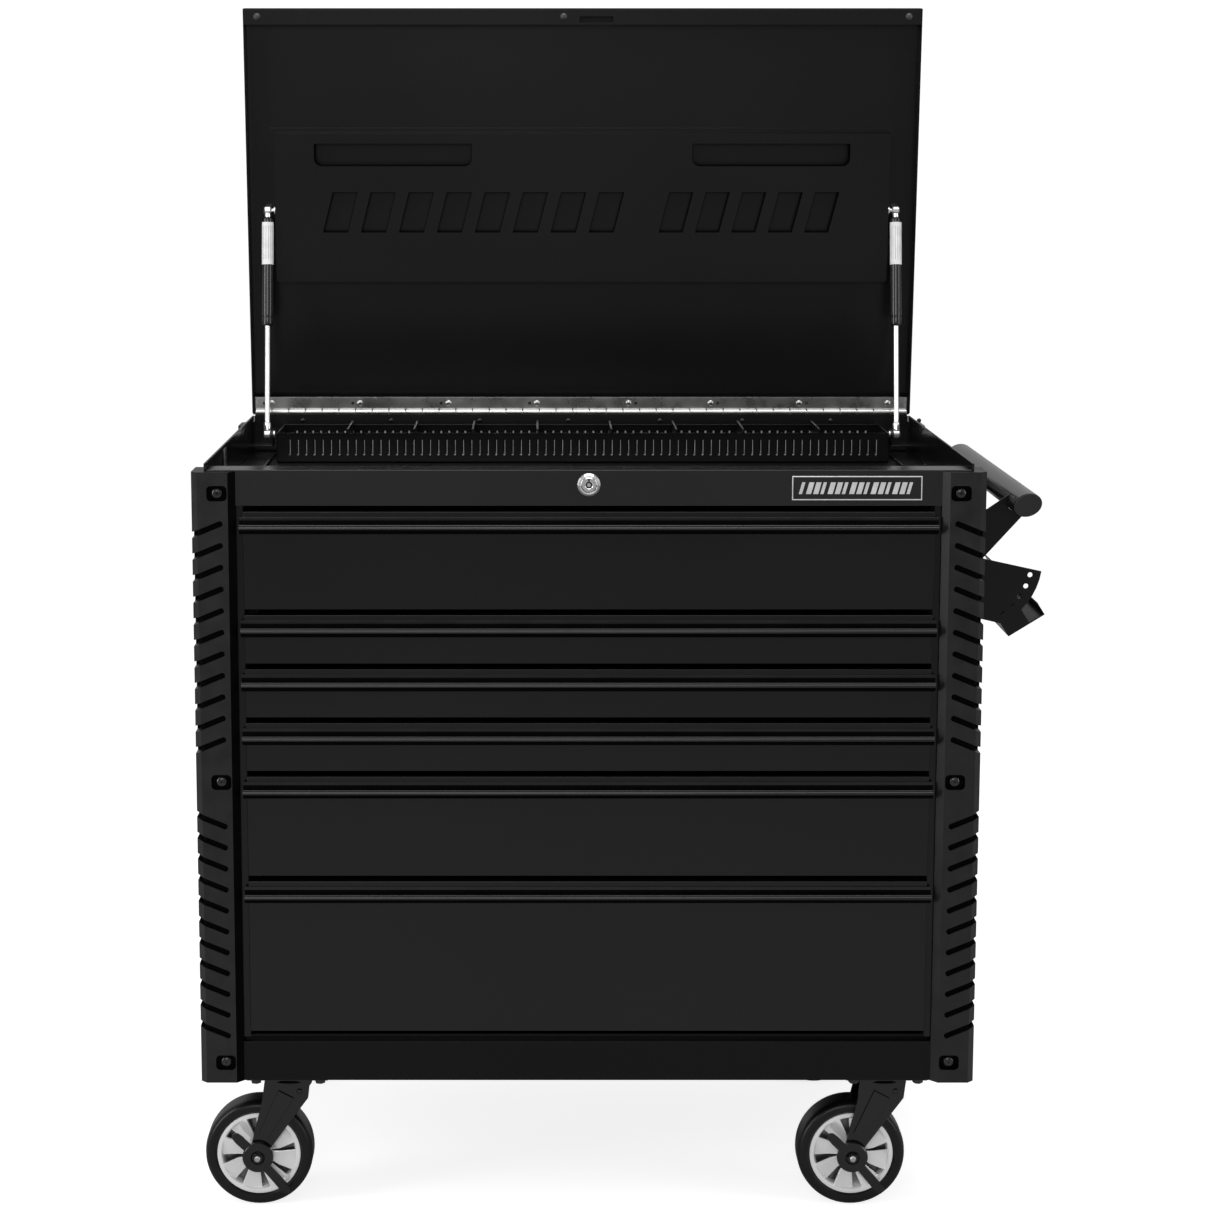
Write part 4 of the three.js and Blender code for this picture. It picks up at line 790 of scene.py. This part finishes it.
# ---------------------------------------------------------------- pry-bar rack
# Two fan plates with an arc of holes carry a folded channel that swings about the fan's centre
# and is pinned through one hole at each end. Bars lie along the channel.
for end in ("front", "rear"):
    node = f"rack_bracket_{end}"
    dress(f"{node}_fan", node, 0.0005, "case", "paint", powder_coat)
dress("pry_rack_channel", "pry_rack", 0.0006, "pry_rack", "paint", powder_coat)
bm = bmesh.new()
pivot = hinge_of("pry_rack_swing")
for node, way in (("rack_bracket_front", -1), ("rack_bracket_rear", 1)):
    fan_low, fan_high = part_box(node)
    plate_y = fan_low.y if way < 0 else fan_high.y
    cross_head(bm, (pivot.x, plate_y, pivot.z), (0, way, 0), 0.006)
settle("rack_pivot_screws", bm, "case", "plastic", screw_black)
bm = bmesh.new()
for node in ("handle_bracket_front", "handle_bracket_rear", "rack_bracket_front", "rack_bracket_rear"):
    low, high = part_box(node)
    foot_y = (low.y + high.y) / 2
    for z in (low.z + 0.012, high.z - (0.055 if "handle" in node else 0.012)):
        cross_head(bm, (low.x + 0.003, foot_y, z), (1, 0, 0), 0.0045)
settle("bracket_bolts", bm, "case", "plastic", screw_black)

# ---------------------------------------------------------------- casters
# Four heavy swivel casters: a bolted top plate with its ball race, a pressed fork, a rubber tyre
# on a polished hub with eight raked spokes, and a two-armed toe brake on the front pair.
caster_black = coating("satin black caster steel", (0.003,) * 3, (0.005,) * 3, (0.14, 0.22), 420, 0.00006,
                       shine=0.5)
tread_rubber = coating("black tyre rubber", (0.003,) * 3, (0.005,) * 3, (0.28, 0.38), 260, 0.0001,
                       patches=25, shine=0.3)
# The hub is polished metal, but part of its brightness is diffuse white: a painted reflection of the studio.
hub_polish_and_painted_sheen = coating("polished hub", (0.93,) * 3, (0.98,) * 3, (0.10, 0.2), 120, 0.00008, patches=35,
                       metallic=0.4)
# A darker grey metal for the dish between the spokes: painted shade in the hub's hollow.
dish_painted_shade = coating("hub dish painted shade", (0.10,) * 3, (0.22,) * 3, (0.2, 0.34), 300, 0.0001, patches=30,
                    metallic=0.8)
spoke_count, spoke_rake, caster_trail = 8, 13, 0.0445
blade = [(0.0130, -0.0048), (0.0300, -0.0112), (0.0520, -0.0148), (0.0520, 0.0148), (0.0300, 0.0080),
         (0.0130, 0.0044)]
for end in ("front", "rear"):
    for side in ("left", "right"):
        corner = f"{end}_{side}"
        wheel = f"wheel_{corner}"
        tyre_low, tyre_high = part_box(f"caster_tyre_{corner}")
        hub = (tyre_low + tyre_high) / 2
        bm = bmesh.new()
        turned(bm, [(0.0597, -0.022), (0.062, -0.0245), (0.067, -0.025), (0.0705, -0.0243), (0.0735, -0.0222),
                    (0.0754, -0.0185), (0.0762, -0.013), (0.0762, 0.013), (0.0754, 0.0185), (0.0735, 0.0222),
                    (0.0705, 0.0243), (0.067, 0.025), (0.062, 0.0245), (0.0597, 0.022)], hub, (0, 1, 0), 72)
        settle(f"{wheel}_tread", bm, wheel, "tyre", tread_rubber, f"caster_tyre_{corner}")
        bm = bmesh.new()
        turned(bm, [(0.0068, -0.0235), (0.0135, -0.0235), (0.0150, -0.0225), (0.0158, -0.0195),
                    (0.0158, 0.0195), (0.0150, 0.0225), (0.0135, 0.0235), (0.0068, 0.0235)],
               hub, (0, 1, 0), 40)
        turned(bm, [(0.0500, -0.013), (0.0512, -0.0205), (0.0530, -0.0228), (0.0560, -0.0234),
                    (0.0588, -0.0225), (0.0595, -0.0205), (0.0595, 0.0205), (0.0588, 0.0225),
                    (0.0560, 0.0234), (0.0530, 0.0228), (0.0512, 0.0205), (0.0500, 0.013)],
               hub, (0, 1, 0), 72)
        for face in (-1, 1):
            for spoke in range(spoke_count):
                rake = Matrix.Rotation(math.radians(spoke_rake * face), 4, "X")
                put = (Matrix.Translation(hub + Vector((0, face * 0.0165, 0)))
                       @ Matrix.Rotation(math.radians(360 / spoke_count * spoke + 12), 4, "Y") @ rake)
                drawn_out(bm, [Vector((r, 0, w)) for r, w in blade], Vector((0, face * 0.0042, 0)), put,
                          0.0009)
        settle(f"{wheel}_spokes", bm, wheel, "hub", hub_polish_and_painted_sheen, f"caster_hub_{corner}")
        # The dish behind the spokes, in the darker grey: painted shade.
        bm = bmesh.new()
        turned(bm, [(0.0150, -0.0105), (0.0505, -0.0085), (0.0505, 0.0085), (0.0150, 0.0105)], hub,
               (0, 1, 0), 48)
        settle(f"{wheel}_dish", bm, wheel, "tyre", dish_painted_shade)

        fork = f"caster_{corner}"
        dress(f"{fork}_fork", f"caster_fork_{corner}", 0.0009, fork, "caster_paint", caster_black)
        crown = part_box(f"caster_fork_{corner}")[1].z
        bm = bmesh.new()
        for face in (-1, 1):
            outer = hub.y + face * 0.0321
            top = Vector((hub.x + caster_trail - 0.004, outer, crown - 0.020))
            low = Vector((hub.x + 0.008, outer, hub.z + 0.030))
            wide = (top - low).normalized().cross(Vector((0, 1, 0))) * 0.0075
            rib = [low - wide, top - wide * 1.6, top + wide * 1.6, low + wide]
            drawn_out(bm, rib, Vector((0, face * 0.0028, 0)), radius=0.0011)
            turned(bm, [(0, 0.0022), (0.003, 0.0018), (0.0042, 0.0005), (0.0042, -0.001), (0, -0.001)],
                   top + Vector((0.019, 0, 0.004)), (0, face, 0), 16)
        turned(bm, [(0, -0.001), (0.034, -0.001), (0.0365, -0.0035), (0.0365, -0.006), (0.033, -0.0075),
                    (0, -0.0075)], (hub.x + caster_trail, hub.y, crown), (0, 0, 1), 40)
        settle(f"{fork}_ribs", bm, fork, "caster_paint", caster_black)
        bm = bmesh.new()
        for face in (-1, 1):
            nut = hub + Vector((0, face * 0.0322, 0))
            turned(bm, [(0, 0), (0.0098, 0), (0.0098, 0.0016), (0, 0.0016)], nut, (0, face, 0), 28)
            if not (end == "front" and face < 0):
                turned(bm, [(0, 0.0016), (0.0075, 0.0016), (0.0075, 0.0066), (0.0066, 0.0074), (0, 0.0074)],
                       nut, (0, face, 0), 6)
        settle(f"{fork}_axle_nuts", bm, fork, "zinc", zinc_plate)

        plate = f"caster_plate_{corner}"
        dress(f"{plate}_pressing", plate, 0.0008, "case", "caster_paint", caster_black)
        plate_low, plate_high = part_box(plate)
        bm = bmesh.new()
        margin = 0.012
        for x in (plate_low.x + margin, plate_high.x - margin):
            for y in (plate_low.y + margin, plate_high.y - margin):
                spot = (x, y, plate_high.z - 0.005)
                turned(bm, [(0, 0), (0.0100, 0), (0.0100, 0.0012), (0, 0.0012)], spot, (0, 0, -1), 24)
                turned(bm, [(0, 0.0012), (0.0075, 0.0012), (0.0075, 0.006), (0.0065, 0.0068), (0, 0.0068)],
                       spot, (0, 0, -1), 6)
        settle(f"{plate}_bolts", bm, "case", "plastic", screw_black)

        if end == "front":
            brake = f"brake_lever_{corner}"
            lever_low, lever_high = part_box(brake)
            axle = Vector((hub.x, lever_low.y, hub.z))
            depth = lever_high.y - lever_low.y
            bm = bmesh.new()
            turned(bm, [(0, 0.0012), (0.0085, 0.0012), (0.0100, 0), (0.0200, 0), (0.0214, 0.0010),
                        (0.0220, 0.0026), (0.0220, depth), (0, depth)], axle, (0, 1, 0), 40)
            half = 0.0068
            for reach, angle in ((0.048, 135), (0.067, -50)):
                arm = [(0.012, -half * 0.9), (reach - 0.012, -half), (reach - 0.004, -half * 0.85),
                       (reach, -half * 0.35), (reach, half * 0.35), (reach - 0.004, half * 0.85),
                       (reach - 0.012, half), (0.012, half * 0.9)]
                put = Matrix.Translation(axle) @ Matrix.Rotation(math.radians(-angle), 4, "Y")
                drawn_out(bm, [Vector((r, 0.0004, w)) for r, w in arm], Vector((0, depth - 0.0006, 0)), put,
                          0.0010)
                for grip in range(4):
                    at, edge = reach - 0.007 - grip * 0.0055, half * 0.7
                    bar = [(at, -edge), (at + 0.0024, -edge), (at + 0.0024, edge), (at, edge)]
                    drawn_out(bm, [Vector((r, 0, w)) for r, w in bar], Vector((0, 0.001, 0)), put)
            turned(bm, [(0, -0.0040), (0.0074, -0.0040), (0.0082, -0.0030), (0.0082, 0.0016), (0, 0.0016)],
                   axle, (0, 1, 0), 6)
            settle(f"brake_{corner}_lever", bm, f"brake_{corner}", "plastic", caster_black, brake)
            bm = bmesh.new()
            turned(bm, [(0, -0.0060), (0.0032, -0.0060), (0.0042, -0.0050), (0.0042, -0.0030), (0, -0.0030)],
                   axle, (0, 1, 0), 20)
            settle(f"{fork}_axle_end", bm, fork, "zinc", zinc_plate)
